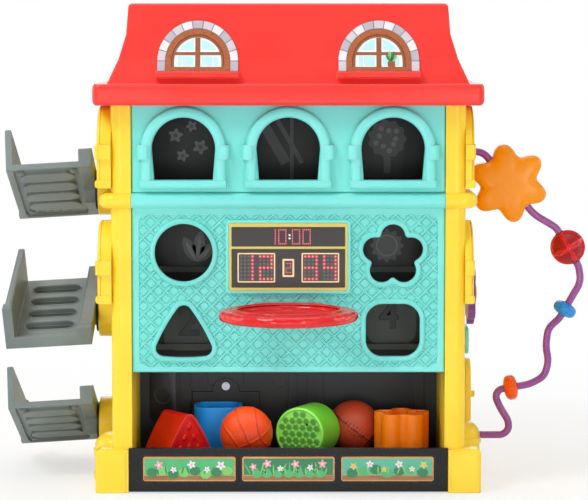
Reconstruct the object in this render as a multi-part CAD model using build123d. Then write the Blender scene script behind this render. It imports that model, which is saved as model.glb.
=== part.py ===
from build123d import *
import math
import os

os.makedirs("parts", exist_ok=True)

# An activity house: a moulded plastic house with a ball bay, shape holes, a hoop, ball windows,
# three see-saw ramps on its left wall and a bead wire on its right wall.
# Millimetres. The origin is the middle of the base on the floor, X runs to the right of someone
# facing the front, Y runs to the back and Z runs up.

# Plastic walls and fits
skin = 2.6                    # wall of the moulded panels
fit_gap = 0.2                 # between two pieces that are fastened together
air_gap = 0.4                 # between a moving piece and what it passes
pin_play = 0.05               # radial play of a pin in its bore
weld = 0.6                    # how far a moulded feature roots into its wall

# House body
panel_half_width = 133.2
post_width = 17.8
body_half_width = panel_half_width + post_width
body_half_depth = 115.0       # to the faces of the front panels and of the back wall
front_y = -body_half_depth
back_y = body_half_depth
post_proud = 2.0              # posts stand in front of the panels
post_radius = 9.0
bay_lip_z = 38.5
bay_top_z = 103.2
ledge_z = 243.3
ledge_height = 13.2
ledge_proud = 6.0
moulding_reach = 10.0         # storey moulding beyond the side walls

# Roof
roof_overhang_x = 12.8        # eave beyond the posts at the sides
roof_overhang_y = 12.5        # and at the front and the back
eave_gap = 10.4               # eave above the ball windows' openings
eave_chamfer = 1.6
eave_chamfer_height = 3.0
eave_height = 18.0
eave_step = 10.5              # shelf on top of the eave band
roof_flare = ((21.0, 9.5), (42.0, 15.7), (68.0, 17.7))   # height above the eave, inset
roof_radius = 5.0
roof_lap = 8.0                # how far the walls reach up inside the eave

# Attic windows on the front slope
attic_x = 76.7
attic_radius = 34.3
attic_leg = 8.7
attic_rise = 5.0              # windows' sills above the eave band
attic_sill_height = 5.5
attic_sill_proud = 4.0
attic_proud = 1.8
glass_proud = 0.9
stone_band = 6.8
wood_band = 6.2
rail_height = 3.8
bar_width = 3.6
bar_rise = 12.5               # middle of the cross bar above the window's rail

# Arched ball windows of the upper storey
window_inset = 44.4           # outer windows' middles from the panel's ends
window_rise = 4.0             # sills above the storey ledge
window_half_top = 26.85
window_half_bottom = 24.8
window_height = 52.8
window_band = 9.2
window_proud = 5.0
left_window_proud = 9.5
right_window_proud = 6.0
collar_reach = 3.0
collar_height = 12.6
collar_rise = 17.2            # above the window's sill
sill_height = 7.3
mid_window_drop = 98.6        # the middle storey's side windows are this much lower
side_window_inset = 35.0      # side windows' middles behind the front panels' face

# Lower front panel: inset field and shape holes
rim_depth = 10.0
field_inset = 6.2             # from the panel's ends
field_rise = 4.8              # above the bay's opening
field_drop = 5.3              # below the storey ledge
field_depth = 1.0
field_radius = 8.0
hole_inset = 44.2             # holes' middles from the panel's ends
circle_drop = 37.6            # middles of the upper holes below the ledge
flower_drop = 39.7
triangle_rise = 34.4          # middles of the lower holes above the bay's opening
square_rise = 36.3
circle_radius = 24.65
lobe_radius = 10.3
lobe_ring = 16.0
lobe_notch = 3.0
triangle_half_base = 26.9
triangle_height = 47.0
triangle_bulge = 2.2
triangle_corner = 7.0
square_width = 46.0
square_height = 45.0
square_corner = 14.0
bezel_band = 4.4
bezel_proud = 1.3

# Scoreboard
board_drop = 41.1             # middle below the storey ledge
board_width = 100.9
board_height = 57.5
board_thickness = 1.6
board_surround = 2.7
board_proud = 2.5
display_width = 90.0
display_height = 46.0
display_depth = 6.0
circuit_thickness = 1.6
cover_half_width = 56.0
cover_half_height = 33.0
cover_depth = 24.0

# Hoop
hoop_drop = 43.7              # middle below the scoreboard's
hoop_height = 9.6
hoop_outer = 54.0
hoop_inner = 41.5
hoop_scallop = 4.4
hoop_scallops = 28
hoop_bracket_half = 30.0
hoop_pad_height = 14.0

# Side walls
cheek_rise = 6.8              # the ball bay's inner cheeks reach above its opening
floor_clear = 1.0             # the walls end just above the floor, the feet reach it
foot_top_z = 37.0
foot_reach = 14.0
foot_top_reach = 5.0
foot_front = 4.0
foot_length = 18.0
barrel_radius = 20.0
barrel_height = 46.0
barrel_band = 6.0
barrel_band_proud = 1.2
left_barrel_sink = 3.0        # how far its middle lies inside the wall's face

# Base tray and labels
tray_floor_z = 20.0
tray_post_lap = 3.1           # the tray's front covers this much of each post
tray_proud = 5.2              # the tray's front before the front panels' face
tray_lip = 5.2
bay_depth = 118.0             # from the front panels' face to the bay's back wall
label_margin = 12.2           # outer labels from the ends of the tray's front
label_gap = 5.6
label_height = 21.2
label_z = 20.8
label_thickness = 0.6
pad_radius = 8.0
pad_height = 2.4
pad_inset = 18.0

# Ball chute, upper deck and window backing
chute_depth = 58.0            # from the front panels' face
deck_drop = 1.2               # the deck's right end below the window openings
deck_fall = 4.2               # the deck's left end below its right end

# Battery compartment in the bay's back wall, speaker and switch
battery_inset = 77.0          # middle of the battery door from the panels' left end
door_width = 60.8
door_rise = 4.6               # above the tray's floor
door_height = 46.0
door_thickness = 2.2
door_tab_width = 24.0
door_tab_height = 12.6
door_screw_rise = 50.7        # above the door's lower edge
door_screw_radius = 3.6
door_screw_sink = 1.2
door_screw_slot = 1.0
pocket_depth = 17.0
thread_radius = 1.4
cell_radius = 7.1
cell_length = 50.0
cell_count = 3
cell_gap = 0.6
contact_thickness = 0.5
speaker_inset = 20.4          # from the panels' left end
speaker_z = 67.0
speaker_radius = 13.5
grille_radius = 6.4
grille_hole = 1.1
grille_pitch = 3.6
switch_from_screws = 24.0
switch_z = 60.0
switch_travel = 7.0
switch_width = 9.0
switch_height = 14.0
switch_proud = 2.5            # the knob before the back wall
switch_plate = 1.6            # the sliding plate under the knob
switch_plate_reach = 4.0      # and how far it reaches beyond the knob's sides
switch_plate_rise = 3.0       # and beyond its ends
switch_rail_gap = 4.5
switch_rail_width = 3.0
switch_rail_length = 36.0
switch_body_depth = 6.0
screw_head = 3.6
screw_head_depth = 2.2
case_boss_radius = 5.0
case_screw_inset = 13.2       # from the panels' ends
case_screw_levels = (40.0, 135.0, 230.0, 318.0)

# Right wall: bead wire, spinner, plate and garden door. Places of beads are X beyond the
# wall's face and Z.
wire_y = -15.0
wire_radius = 3.25
wire_bottom_z = 33.8
wire_play = 0.1
socket_radius = 8.0
socket_reach = 15.0
socket_floor = 2.0            # the wire's sockets end this far beyond the wall's face
spinner_y = 31.0
spinner_z = 157.0
spinner_radius = 29.0
spinner_petals = 8
spinner_standoff = 11.0       # the spinner's back before the wall's face
spinner_thickness = 6.6
spinner_pin_radius = 3.0
spinner_boss_radius = 10.0
plate_y = 34.0
plate_z = 114.5
plate_width = 46.0
plate_height = 24.0
plate_thickness = 3.0
side_pad_proud = 8.8
star_at = (44.2, 259.1)
star_angle = -50.7
star_wire_reach = 36.0        # the wire is straight this far to both sides of the star's middle
star_tip = 40.0
star_notch = 27.0
star_tip_round = 8.2
star_notch_round = 9.9
star_half_depth = 13.0
star_edge = 5.5
red_bead_at = (97.3, 202.0)
red_bead_angle = -59.7
red_bead_radius = 15.5
red_bead_flat = 13.6
red_bead_groove = 1.5
blue_bead_at = (95.2, 146.7)
blue_bead_angle = -120.0
blue_bead_radius = 10.5
blue_bead_length = 12.0
orange_bead_at = (47.4, 76.4)
orange_bead_angle = -170.1
orange_bead_radius = 11.2
orange_bead_length = 12.4
bead_play = 0.5
garden_door_y = 34.0
garden_door_z = 42.0
garden_door_half_width = 22.0
garden_door_height = 56.0
garden_door_thickness = 5.0
garden_door_margin = 4.0
hinge_radius = 3.2
hinge_pin_radius = 1.5
hinge_ear = 5.0

# See-saw ramps on the left wall
ramp_names = ("top", "middle", "bottom")
ramp_pivots = (252.0, 143.0, 44.0)
ramp_tilts = (22.0, 18.0, 22.0)
ramp_roll = 3.5
ramp_width = 73.5
ramp_length = 135.0
ramp_floor = 2.6
ramp_outer_wall = 5.8
ramp_outer_height = 33.0
ramp_inner_wall = 10.5
ramp_inner_height = 12.0
ramp_skirt = 5.0
ramp_lip = 5.0
ramp_edge = 2.0
ramp_collar = 1.2             # how far the low end's collars stand out of the walls
ramp_collar_length = 9.0
ramp_boss_radius = 12.0
slot_count = 4
slot_length = 43.0
slot_width = 16.0
slot_pitch = 26.5
slot_start = 33.0             # middle of the first slot from the low end
slot_depth = 4.4
slot_wall = 1.8
grate_count = 4
grate_size = 5.0
grate_pitch = 9.5
grate_start = 8.0
ramp_root = 3.0               # the hub's disc trims the ramp, which starts this far inside it
ramp_screw_side = 12.0        # screw bosses from the outer side
ramp_screw_low = 19.0         # from the low end
ramp_screw_high = 8.0         # from the high end
ramp_screw_inner = 5.5        # from the inner wall
hub_boss_radius = 22.0
hub_boss_reach = 18.0
hub_disc_radius = 17.5
hub_disc_thickness = 1.8
hub_pin_radius = 6.0
hub_key = 8.0
hub_screw_radius = 8.5
hub_screw_head = 2.4
hub_thread_radius = 2.0
ramp_floor_rise = 4.5         # the floor's top above the pivot
ramp_screw_boss = 3.0
ramp_screw_hole = 1.2

# Toys in the ball bay
toy_gap = 0.3
block_play = 1.5              # smaller than its hole all round
ball_radius = 23.5
block_wall = 3.2
triangle_length = 38.0
cup_height = 42.0
cylinder_length = 34.0
flower_height = 40.0

# Levels and places that follow from the sizes above
ledge_top_z = ledge_z + ledge_height
window_foot_z = ledge_top_z + window_rise
window_sill_z = window_foot_z + sill_height
eave_z = window_sill_z + window_height + eave_gap
cheek_z = bay_top_z + cheek_rise
hole_x = panel_half_width - hole_inset
circle_at = (-hole_x, ledge_z - circle_drop)
flower_at = (hole_x, ledge_z - flower_drop)
triangle_at = (-hole_x, bay_top_z + triangle_rise)
square_at = (hole_x, bay_top_z + square_rise)
board_z = ledge_z - board_drop
hoop_z = board_z - hoop_drop
roof_half_width = body_half_width + roof_overhang_x
tray_front_half_width = panel_half_width + tray_post_lap
tray_front_y = front_y - tray_proud
bay_back_y = front_y + bay_depth
chute_y = front_y + chute_depth
deck_right_z = window_sill_z - deck_drop
deck_left_z = deck_right_z - deck_fall
side_window_y = front_y + side_window_inset
battery_x = battery_inset - panel_half_width
door_bottom_z = tray_floor_z + door_rise
door_screw_z = door_bottom_z + door_screw_rise
speaker_x = speaker_inset - panel_half_width
case_screw_x = panel_half_width - case_screw_inset
switch_x = case_screw_x - switch_from_screws
spinner_x = body_half_width + spinner_standoff
side_pad_x = body_half_width + side_pad_proud


def seen_from_front(y):
    """A plane facing the viewer at depth y: sketches on it are drawn in X and Z."""
    return Plane(origin=(0, y, 0), x_dir=(1, 0, 0), z_dir=(0, -1, 0))


def seen_from_side(x):
    """A plane across the house at x: sketches on it are drawn in Y and Z, towards +X."""
    return Plane(origin=(x, 0, 0), x_dir=(0, 1, 0), z_dir=(1, 0, 0))


def slab_to_back(shape, y, depth):
    """A front view sketch made solid from y towards the back."""
    return extrude(seen_from_front(y) * shape, amount=-depth)


def slab_to_right(shape, x, width):
    """A side view sketch made solid from x towards +X."""
    return extrude(seen_from_side(x) * shape, amount=width)


def box_between(x0, x1, y0, y1, z0, z1):
    """A box given by its six faces."""
    return Pos((x0 + x1) / 2, (y0 + y1) / 2, (z0 + z1) / 2) * Box(x1 - x0, y1 - y0, z1 - z0)


def rod_x(radius, x0, x1, y, z):
    """A round bar along X."""
    return Pos((x0 + x1) / 2, y, z) * Rot(0, 90, 0) * Cylinder(radius, x1 - x0)


def rod_y(radius, y0, y1, x, z):
    """A round bar along Y."""
    return Pos(x, (y0 + y1) / 2, z) * Rot(90, 0, 0) * Cylinder(radius, y1 - y0)


def rod_z(radius, z0, z1, x, y):
    """An upright round bar."""
    return Pos(x, y, (z0 + z1) / 2) * Cylinder(radius, z1 - z0)


def arch(half_bottom, half_top, height):
    """An arched opening that stands on its local origin, its sides leaning out to a round top."""
    spring = height - half_top
    outline = Polyline((-half_top, spring), (-half_bottom, 0), (half_bottom, 0), (half_top, spring))
    crown = ThreePointArc((half_top, spring), (0, height), (-half_top, spring))
    return make_face(outline + crown)


def straight_arch(radius, leg):
    """A round headed outline with upright legs, standing on its local origin."""
    return arch(radius, radius, radius + leg)


def closed_profile(points):
    """A face through straight runs."""
    return make_face(Polyline(*points, close=True))


def save(solid, name):
    """Writes one sub-part under its name."""
    solid.label = name
    export_step(solid, "parts/" + name + ".step")


# Roof: a hollow mansard whose slopes curve inwards, on a deep eave band.
post_front_y = front_y - post_proud
roof_half_depth = -post_front_y + roof_overhang_y
roof_eave_top = eave_z + eave_height


def roof_profile(half_width, inset, drop):
    """Half of the roof's section on both sides of its middle, shrunk by a wall thickness."""
    slope = [(half_width - eave_step - i - inset, roof_eave_top + h - drop) for h, i in roof_flare]
    side = [(half_width - eave_chamfer - inset, eave_z - (weld if inset else 0)),
            (half_width - inset, eave_z + eave_chamfer_height),
            (half_width - inset, roof_eave_top - drop),
            (half_width - eave_step - inset, roof_eave_top - drop)] + slope
    return closed_profile([(-a, b) for a, b in reversed(side)] + side)


def roof_block(inset, drop):
    """The mansard's full volume: the section along X and the section along Y, mitred."""
    across = extrude(Plane.XZ * roof_profile(roof_half_width, inset, drop),
                     amount=roof_half_depth + 1, both=True)
    along = extrude(Plane.YZ * roof_profile(roof_half_depth, inset, drop),
                    amount=roof_half_width + 1, both=True)
    return across & along


roof_outer = roof_block(0, 0)
roof_outer = fillet(roof_outer.edges().filter_by(Axis.Z), roof_radius)
roof_outer = fillet(roof_outer.edges().group_by(Axis.Z)[-1], roof_radius * 0.8)
roof_shell = roof_outer - roof_block(skin, skin)

# The soffit closes the eave around the tops of the walls.
soffit = Rectangle(2 * roof_half_width - 4 * skin, 2 * roof_half_depth - 4 * skin)
soffit += Rectangle(2 * roof_half_width - 2 * skin, 2 * roof_half_depth - 5 * skin)
soffit -= RectangleRounded(2 * (body_half_width + fit_gap), -2 * post_front_y + 2 * fit_gap,
                           post_radius)
roof_shell += Pos(0, 0, eave_z + 0.5) * extrude(soffit, amount=skin)

# Each attic window's sill sticks out of the slope below it.
attic_sill_z = roof_eave_top + attic_rise
slope_front_y = -(roof_half_depth - eave_step)
for side in (-1, 1):
    sill = box_between(side * attic_x - attic_radius - 1, side * attic_x + attic_radius + 1,
                       slope_front_y - attic_sill_proud, slope_front_y + 5.0,
                       attic_sill_z, attic_sill_z + attic_sill_height)
    sill = fillet(sill.edges().group_by(Axis.Y)[0], 1.5)
    roof_shell += sill - roof_block(skin, skin)
save(roof_shell, "roof_shell")


# Attic windows: thin arched plates that follow the slope, with raised stone and wood.
def slope_layer(thickness):
    """A layer of even thickness over the whole roof."""
    return roof_block(-thickness, -thickness) - roof_outer


attic_foot_z = attic_sill_z + attic_sill_height
attic_outline = straight_arch(attic_radius, attic_leg)
glass_radius = attic_radius - stone_band - wood_band
attic_glass = Pos(0, rail_height) * straight_arch(glass_radius, attic_leg - rail_height)
attic_glass -= Pos(0, attic_radius / 2) * Rectangle(bar_width, 2 * attic_radius)
attic_glass -= Pos(0, rail_height + bar_rise) * Rectangle(2 * attic_radius, bar_width * 0.75)
glass_layer = slope_layer(glass_proud)
frame_layer = slope_layer(attic_proud)
for side, name in ((-1, "left"), (1, "right")):
    place = Pos(side * attic_x, attic_foot_z)
    plate = glass_layer & slab_to_back(place * attic_outline, slope_front_y - 10, 40)
    plate += frame_layer & slab_to_back(place * (attic_outline - attic_glass),
                                        slope_front_y - 10, 40)
    save(plate, "attic_window_" + name)


# The arched ball window's trim, facing -Y with the wall's face on Y = 0 and its foot on Z = 0.
window_opening = Pos(0, sill_height) * arch(window_half_bottom, window_half_top, window_height)
trim_half = window_half_top + window_band


def window_trim(proud):
    """A raised band with two collars and a sill."""
    band = straight_arch(trim_half, sill_height + window_height - window_half_top)
    band = slab_to_back(band - window_opening, -proud, proud + weld)
    band = fillet(band.faces().sort_by(Axis.Y)[0].edges(), window_band * 0.25)
    collar_z = sill_height + collar_rise
    for side in (-1, 1):
        x_in = side * (window_half_top + 2.0)
        x_out = side * (trim_half + collar_reach)
        collar = box_between(min(x_in, x_out), max(x_in, x_out), -proud - 1.0, weld,
                             collar_z, collar_z + collar_height)
        band += fillet(collar.edges().group_by(Axis.Y)[0], 1.5)
    sill = box_between(-trim_half - 0.5, trim_half + 0.5, -proud - 2.0, weld, 0, sill_height)
    return band + fillet(sill.edges().group_by(Axis.Y)[0], 2.0)


def window_cut(depth):
    """What the window takes out of the wall behind it."""
    return slab_to_back(window_opening, -1.0, depth)


front_trim = window_trim(window_proud)
window_pitch = panel_half_width - window_inset


# A front panel: a plate with a rim that turns back all round.
def front_panel(z0, z1):
    """A shallow tray, open at the back."""
    panel = box_between(-panel_half_width, panel_half_width, front_y, front_y + rim_depth, z0, z1)
    panel = fillet(panel.edges().group_by(Axis.Y)[0], 1.6)
    return panel - box_between(-panel_half_width + skin, panel_half_width - skin,
                               front_y + skin, front_y + rim_depth + 1, z0 + skin, z1 - skin)


wall_top_z = eave_z + roof_lap
upper_panel = front_panel(ledge_top_z + fit_gap, wall_top_z)
for step in (-1, 0, 1):
    place = Pos(step * window_pitch, front_y, window_foot_z)
    upper_panel = upper_panel + place * front_trim - place * window_cut(2 * rim_depth)
save(upper_panel, "upper_front_panel")


# Lower front panel: four shape holes with bezels, a scoreboard surround and the storey ledge.
def bulged_outline(corners, bulge):
    """Corners joined by arcs that bulge outwards."""
    edges = []
    middle = sum((Vector(*c) for c in corners), Vector(0, 0)) * (1 / len(corners))
    for a, b in zip(corners, corners[1:] + corners[:1]):
        half_way = (Vector(*a) + Vector(*b)) * 0.5
        outwards = (half_way - middle).normalized()
        edges.append(ThreePointArc(a, half_way + outwards * bulge, b))
    return make_face(edges)


flower_shape = Circle(lobe_ring)
for turn in range(5):
    angle = math.radians(90 + 72 * turn)
    flower_shape += Pos(lobe_ring * math.cos(angle), lobe_ring * math.sin(angle)) * Circle(lobe_radius)
flower_shape = fillet(flower_shape.vertices(), lobe_notch)
triangle_low = -triangle_height * 0.41
triangle_shape = bulged_outline([(-triangle_half_base, triangle_low),
                                 (triangle_half_base, triangle_low),
                                 (0, triangle_low + triangle_height)], triangle_bulge)
triangle_shape = fillet(triangle_shape.vertices(), triangle_corner)
square_shape = RectangleRounded(square_width, square_height, square_corner)
shape_holes = ((Circle(circle_radius), circle_at), (flower_shape, flower_at),
               (triangle_shape, triangle_at), (square_shape, square_at))

field_bottom_z = bay_top_z + field_rise
field_top_z = ledge_z - field_drop
field_middle_z = (field_bottom_z + field_top_z) / 2
lower_panel = front_panel(bay_top_z, ledge_top_z)
field = RectangleRounded(2 * (panel_half_width - field_inset), field_top_z - field_bottom_z,
                         field_radius)
lower_panel -= slab_to_back(Pos(0, field_middle_z) * field, front_y - 1, 1 + field_depth)
for shape, at in shape_holes:
    bezel = slab_to_back(Pos(*at) * offset(shape, bezel_band), front_y - bezel_proud,
                         bezel_proud + field_depth + weld)
    lower_panel += fillet(bezel.faces().sort_by(Axis.Y)[0].edges(), 1.0)
for shape, at in shape_holes:
    lower_panel -= slab_to_back(Pos(*at) * shape, front_y - 5, 5 + rim_depth)
surround = slab_to_back(Pos(0, board_z) * RectangleRounded(board_width + 2 * board_surround,
                                                           board_height + 2 * board_surround, 4),
                        front_y - board_proud, board_proud + field_depth + weld)
lower_panel += fillet(surround.faces().sort_by(Axis.Y)[0].edges(), 1.0)
lower_panel -= slab_to_back(Pos(0, board_z) * RectangleRounded(board_width + 2 * fit_gap,
                                                               board_height + 2 * fit_gap, 2),
                            front_y - board_proud - 1, 1 + board_thickness + fit_gap)
lower_panel -= slab_to_back(Pos(0, board_z) * Rectangle(display_width + 2 * fit_gap,
                                                        display_height + 2 * fit_gap),
                            front_y - board_proud - 1, rim_depth)
hoop_pad = box_between(-hoop_bracket_half - 2, hoop_bracket_half + 2, front_y,
                       front_y + field_depth + weld, hoop_z - hoop_pad_height / 2,
                       hoop_z + hoop_pad_height / 2)
lower_panel += hoop_pad
ledge = box_between(-panel_half_width, panel_half_width, front_y - ledge_proud, front_y + weld,
                    ledge_z, ledge_top_z)
lower_panel += fillet(ledge.edges().group_by(Axis.Y)[0].filter_by(Axis.X), ledge_proud - 0.6)
save(lower_panel, "lower_front_panel")

# Scoreboard plate in its recess, with the display, its circuit board and their cover behind it.
board_y = front_y - board_proud + 0.1
board_plate = slab_to_back(Pos(0, board_z) * RectangleRounded(board_width, board_height, 1.8),
                           board_y, board_thickness)
save(board_plate, "scoreboard_plate")
display_y = board_y + board_thickness + fit_gap
display_module = slab_to_back(Pos(0, board_z) * Rectangle(display_width, display_height),
                              display_y, display_depth)
save(display_module, "display_module")
circuit_y = display_y + display_depth
circuit_board = slab_to_back(Pos(0, board_z) * Rectangle(display_width + 8, display_height + 10),
                             circuit_y, circuit_thickness)
chips = ((-26.0, 8.0, 12.0, 12.0), (4.0, -6.0, 18.0, 8.0), (30.0, 10.0, 8.0, 14.0))
for x, z, width, height in chips:
    circuit_board += slab_to_back(Pos(x, board_z + z) * Rectangle(width, height), circuit_y, 3.4)
save(circuit_board, "circuit_board")
cover = box_between(-cover_half_width, cover_half_width, front_y + skin + fit_gap,
                    front_y + cover_depth, board_z - cover_half_height,
                    board_z + cover_half_height)
cover = fillet(cover.edges().group_by(Axis.Y)[-1], 4.0)
cover -= box_between(-cover_half_width + skin, cover_half_width - skin, front_y,
                     front_y + cover_depth - skin, board_z - cover_half_height + skin,
                     board_z + cover_half_height - skin)
for side in (-1, 1):
    for level in (-1, 1):
        post = rod_y(2.5, circuit_y + circuit_thickness, front_y + cover_depth - 0.5,
                     side * display_width / 2, board_z + level * display_height / 2)
        cover += post
save(cover, "display_cover")

# Hoop: a flat ring with a scalloped edge, and a bracket that meets the lower panel.
hoop_y = front_y - fit_gap - hoop_outer - hoop_scallop
ring = Circle(hoop_outer)
for turn in range(hoop_scallops):
    angle = 2 * math.pi * (turn + 0.5) / hoop_scallops
    ring += Pos(hoop_outer * math.cos(angle), hoop_outer * math.sin(angle)) * Circle(hoop_scallop)
ring += Pos(0, hoop_outer * 0.9) * Rectangle(2 * hoop_bracket_half, hoop_outer * 0.2)
bracket_depth = front_y - fit_gap - hoop_y
bracket = Rectangle(2 * hoop_bracket_half, bracket_depth - hoop_outer * 0.8)
ring += Pos(0, (bracket_depth + hoop_outer * 0.8) / 2) * bracket
ring -= Circle(hoop_inner)
hoop = Pos(0, hoop_y, hoop_z - hoop_height / 2) * extrude(ring, amount=hoop_height)
save(hoop, "hoop")


# Side walls: a post at each corner, cheeks beside the ball bay, trims, bosses, feet and barrels.
post_half_depth = -post_front_y
flange_x = panel_half_width + fit_gap
boss_x = body_half_width + hub_boss_reach
cheek_depth = bay_back_y + fit_gap


def wall_shell():
    """The right wall, as tall as the roof's soffit needs it."""
    plan = RectangleRounded(2 * body_half_width, 2 * post_half_depth, post_radius)
    plan -= RectangleRounded(2 * (body_half_width - skin), 2 * (post_half_depth - skin),
                             post_radius - skin)
    plan &= Pos(flange_x + body_half_width, 0) * Rectangle(2 * body_half_width,
                                                           4 * post_half_depth)
    wall = Pos(0, 0, floor_clear) * extrude(plan, amount=wall_top_z - floor_clear)
    wall += box_between(flange_x, flange_x + skin, -post_half_depth + skin - weld, bay_back_y,
                        floor_clear, cheek_z)
    wall += box_between(flange_x, flange_x + skin, -post_half_depth + skin - weld,
                        chute_y - fit_gap, floor_clear, deck_left_z - skin - fit_gap)
    for level in (tray_floor_z + 10, cheek_z - 8):
        wall += box_between(flange_x + 1, body_half_width - 1, bay_back_y - skin, bay_back_y,
                            level, level + 4)
    return wall


def storey_moulding():
    """The half-round moulding round the post and along the right wall."""
    plan = RectangleRounded(2 * (body_half_width + moulding_reach),
                            2 * (-front_y + ledge_proud), post_radius + 4)
    moulding = Pos(0, 0, ledge_z) * extrude(plan, amount=ledge_height)
    moulding = fillet(moulding.faces().sort_by(Axis.Z)[0].edges()
                      + moulding.faces().sort_by(Axis.Z)[-1].edges(), ledge_height * 0.42)
    inside = RectangleRounded(2 * (body_half_width - weld), 2 * (post_half_depth - weld),
                              post_radius)
    moulding -= extrude(inside, amount=2 * eave_z)
    return moulding & box_between(flange_x, 2 * body_half_width, -2 * post_half_depth,
                                  2 * post_half_depth, 0, eave_z)


def corner_foot(end):
    """A flared foot round a post's lower end, at the front (-1) or the back (1)."""
    outline = closed_profile([(flange_x, 0), (body_half_width + foot_reach, 0),
                              (body_half_width + foot_top_reach + 2, foot_top_z * 0.8),
                              (body_half_width + foot_top_reach, foot_top_z),
                              (flange_x, foot_top_z)])
    y_out = post_half_depth + foot_front
    foot = slab_to_back(outline, -y_out, foot_front + foot_length)
    foot = fillet(foot.edges().group_by(Axis.X)[-1], 2.0)
    foot -= box_between(0, body_half_width - weld, -post_half_depth + weld, 0, -1, 2 * foot_top_z)
    foot -= box_between(0, tray_front_half_width + fit_gap, -y_out - 1, 0, -1, 2 * foot_top_z)
    return foot if end < 0 else mirror(foot, about=Plane.XZ)


def barrel(x, y):
    """A banded half barrel with a domed top, against the right wall."""
    body = rod_z(barrel_radius, 0, barrel_height, x, y)
    body = fillet(body.edges().group_by(Axis.Z)[-1], barrel_radius * 0.6)
    for level in (0.12, 0.58):
        hoop_band = rod_z(barrel_radius + barrel_band_proud, barrel_height * level,
                          barrel_height * level + barrel_band, x, y)
        body += fillet(hoop_band.edges(), 1.0)
    return body - box_between(0, body_half_width - weld, y - 2 * barrel_radius,
                              y + 2 * barrel_radius, -1, 2 * barrel_height)


side_turn = Rot(0, 0, 90)


def side_windows(proud):
    """The upper and the middle storey's trims on the right wall."""
    trim = side_turn * window_trim(proud)
    upper = Pos(body_half_width, side_window_y, window_foot_z) * trim
    return upper + Pos(0, 0, -mid_window_drop) * upper


common_wall = wall_shell() + storey_moulding() + corner_foot(-1) + corner_foot(1)

left_wall = common_wall + side_windows(left_window_proud)
left_wall += barrel(body_half_width - left_barrel_sink, side_window_y)
for pivot_z in ramp_pivots:
    boss = rod_x(hub_boss_radius, body_half_width - skin, boss_x, 0, pivot_z)
    left_wall += fillet(boss.edges().group_by(Axis.X)[-1], 1.5)
for pivot_z in ramp_pivots:
    left_wall -= rod_x(hub_pin_radius + pin_play, body_half_width - 2 * skin, boss_x + 1, 0, pivot_z)
left_wall -= (Pos(body_half_width, side_window_y, window_foot_z) * side_turn
              * window_cut(2 * skin))
left_side_wall = mirror(left_wall, about=Plane.YZ)
save(left_side_wall, "left_side_wall")

# Right wall: the barrel and a socket hold the wire, pads carry the spinner, plate and door.
hinge_x = side_pad_x + air_gap + hinge_radius
hinge_y = garden_door_y + garden_door_half_width + hinge_radius
door_top_z = garden_door_z + garden_door_height
wire_top_z = star_at[1] - star_wire_reach * math.sin(math.radians(star_angle))
right_wall = common_wall + side_windows(right_window_proud) + barrel(body_half_width, wire_y)
socket = rod_x(socket_radius, body_half_width - skin, body_half_width + socket_reach,
               wire_y, wire_top_z)
right_wall += fillet(socket.edges().group_by(Axis.X)[-1], 2.5)
for level in (wire_top_z, wire_bottom_z):
    right_wall -= rod_x(wire_radius + wire_play, body_half_width + socket_floor,
                        2 * body_half_width, wire_y, level)
right_wall += rod_x(spinner_boss_radius, body_half_width - skin, spinner_x - air_gap,
                    spinner_y, spinner_z)
plate_pad = box_between(body_half_width - weld, side_pad_x, plate_y - plate_width / 2 + 3,
                        plate_y + plate_width / 2 - 3, plate_z - plate_height / 2 + 3,
                        plate_z + plate_height / 2 - 3)
right_wall += plate_pad
door_pad = slab_to_right(Pos(garden_door_y, garden_door_z - garden_door_margin)
                         * straight_arch(garden_door_half_width + garden_door_margin,
                                         garden_door_height - garden_door_half_width),
                         body_half_width - weld, side_pad_x - body_half_width + weld)
right_wall += fillet(door_pad.edges().group_by(Axis.X)[-1], 1.2)
for low, high in ((garden_door_z - hinge_ear, garden_door_z),
                  (garden_door_z + garden_door_height * 0.5,
                   garden_door_z + garden_door_height * 0.5 + hinge_ear)):
    right_wall += rod_z(hinge_radius, low, high, hinge_x, hinge_y)
    right_wall += box_between(body_half_width - weld, hinge_x, hinge_y - hinge_radius,
                              hinge_y + hinge_radius, low, high)
hinge_bottom = garden_door_z - hinge_ear
hinge_top = garden_door_z + garden_door_height * 0.5 + hinge_ear
right_wall -= rod_z(hinge_pin_radius, hinge_bottom, hinge_top + 1, hinge_x, hinge_y)
right_wall -= rod_x(spinner_pin_radius, body_half_width - 2 * skin, spinner_x, spinner_y, spinner_z)
save(right_wall, "right_side_wall")

# Back wall: a rimmed panel with a switch slot and bosses for the case screws.
back_wall = Rot(0, 0, 180) * front_panel(floor_clear + skin, wall_top_z)
screw_places = [(side * case_screw_x, z) for side in (-1, 1) for z in case_screw_levels]
boss_depth = 2 * rim_depth
for x, z in screw_places:
    back_wall += rod_y(case_boss_radius, back_y - boss_depth, back_y - weld, x, z)
for x, z in screw_places:
    back_wall -= rod_y(screw_head + fit_gap, back_y - screw_head_depth - fit_gap, back_y + 1, x, z)
    back_wall -= rod_y(thread_radius, back_y - boss_depth - 1, back_y, x, z)
switch_back_y = back_y - skin - air_gap
switch_plate_y = switch_back_y - switch_plate
switch_body_y = switch_plate_y - air_gap
slot_height_all = switch_height + switch_travel + 2 * air_gap
back_wall -= box_between(switch_x - switch_width / 2 - air_gap, switch_x + switch_width / 2 + air_gap,
                         back_y - rim_depth, back_y + 1, switch_z - slot_height_all / 2,
                         switch_z + slot_height_all / 2)
for side in (-1, 1):
    rail_x = switch_x + side * (switch_width / 2 + switch_rail_gap + switch_rail_width / 2)
    back_wall += box_between(rail_x - switch_rail_width / 2, rail_x + switch_rail_width / 2,
                             switch_body_y, back_y - skin + weld,
                             switch_z - switch_rail_length / 2, switch_z + switch_rail_length / 2)
save(back_wall, "back_wall")

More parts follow.
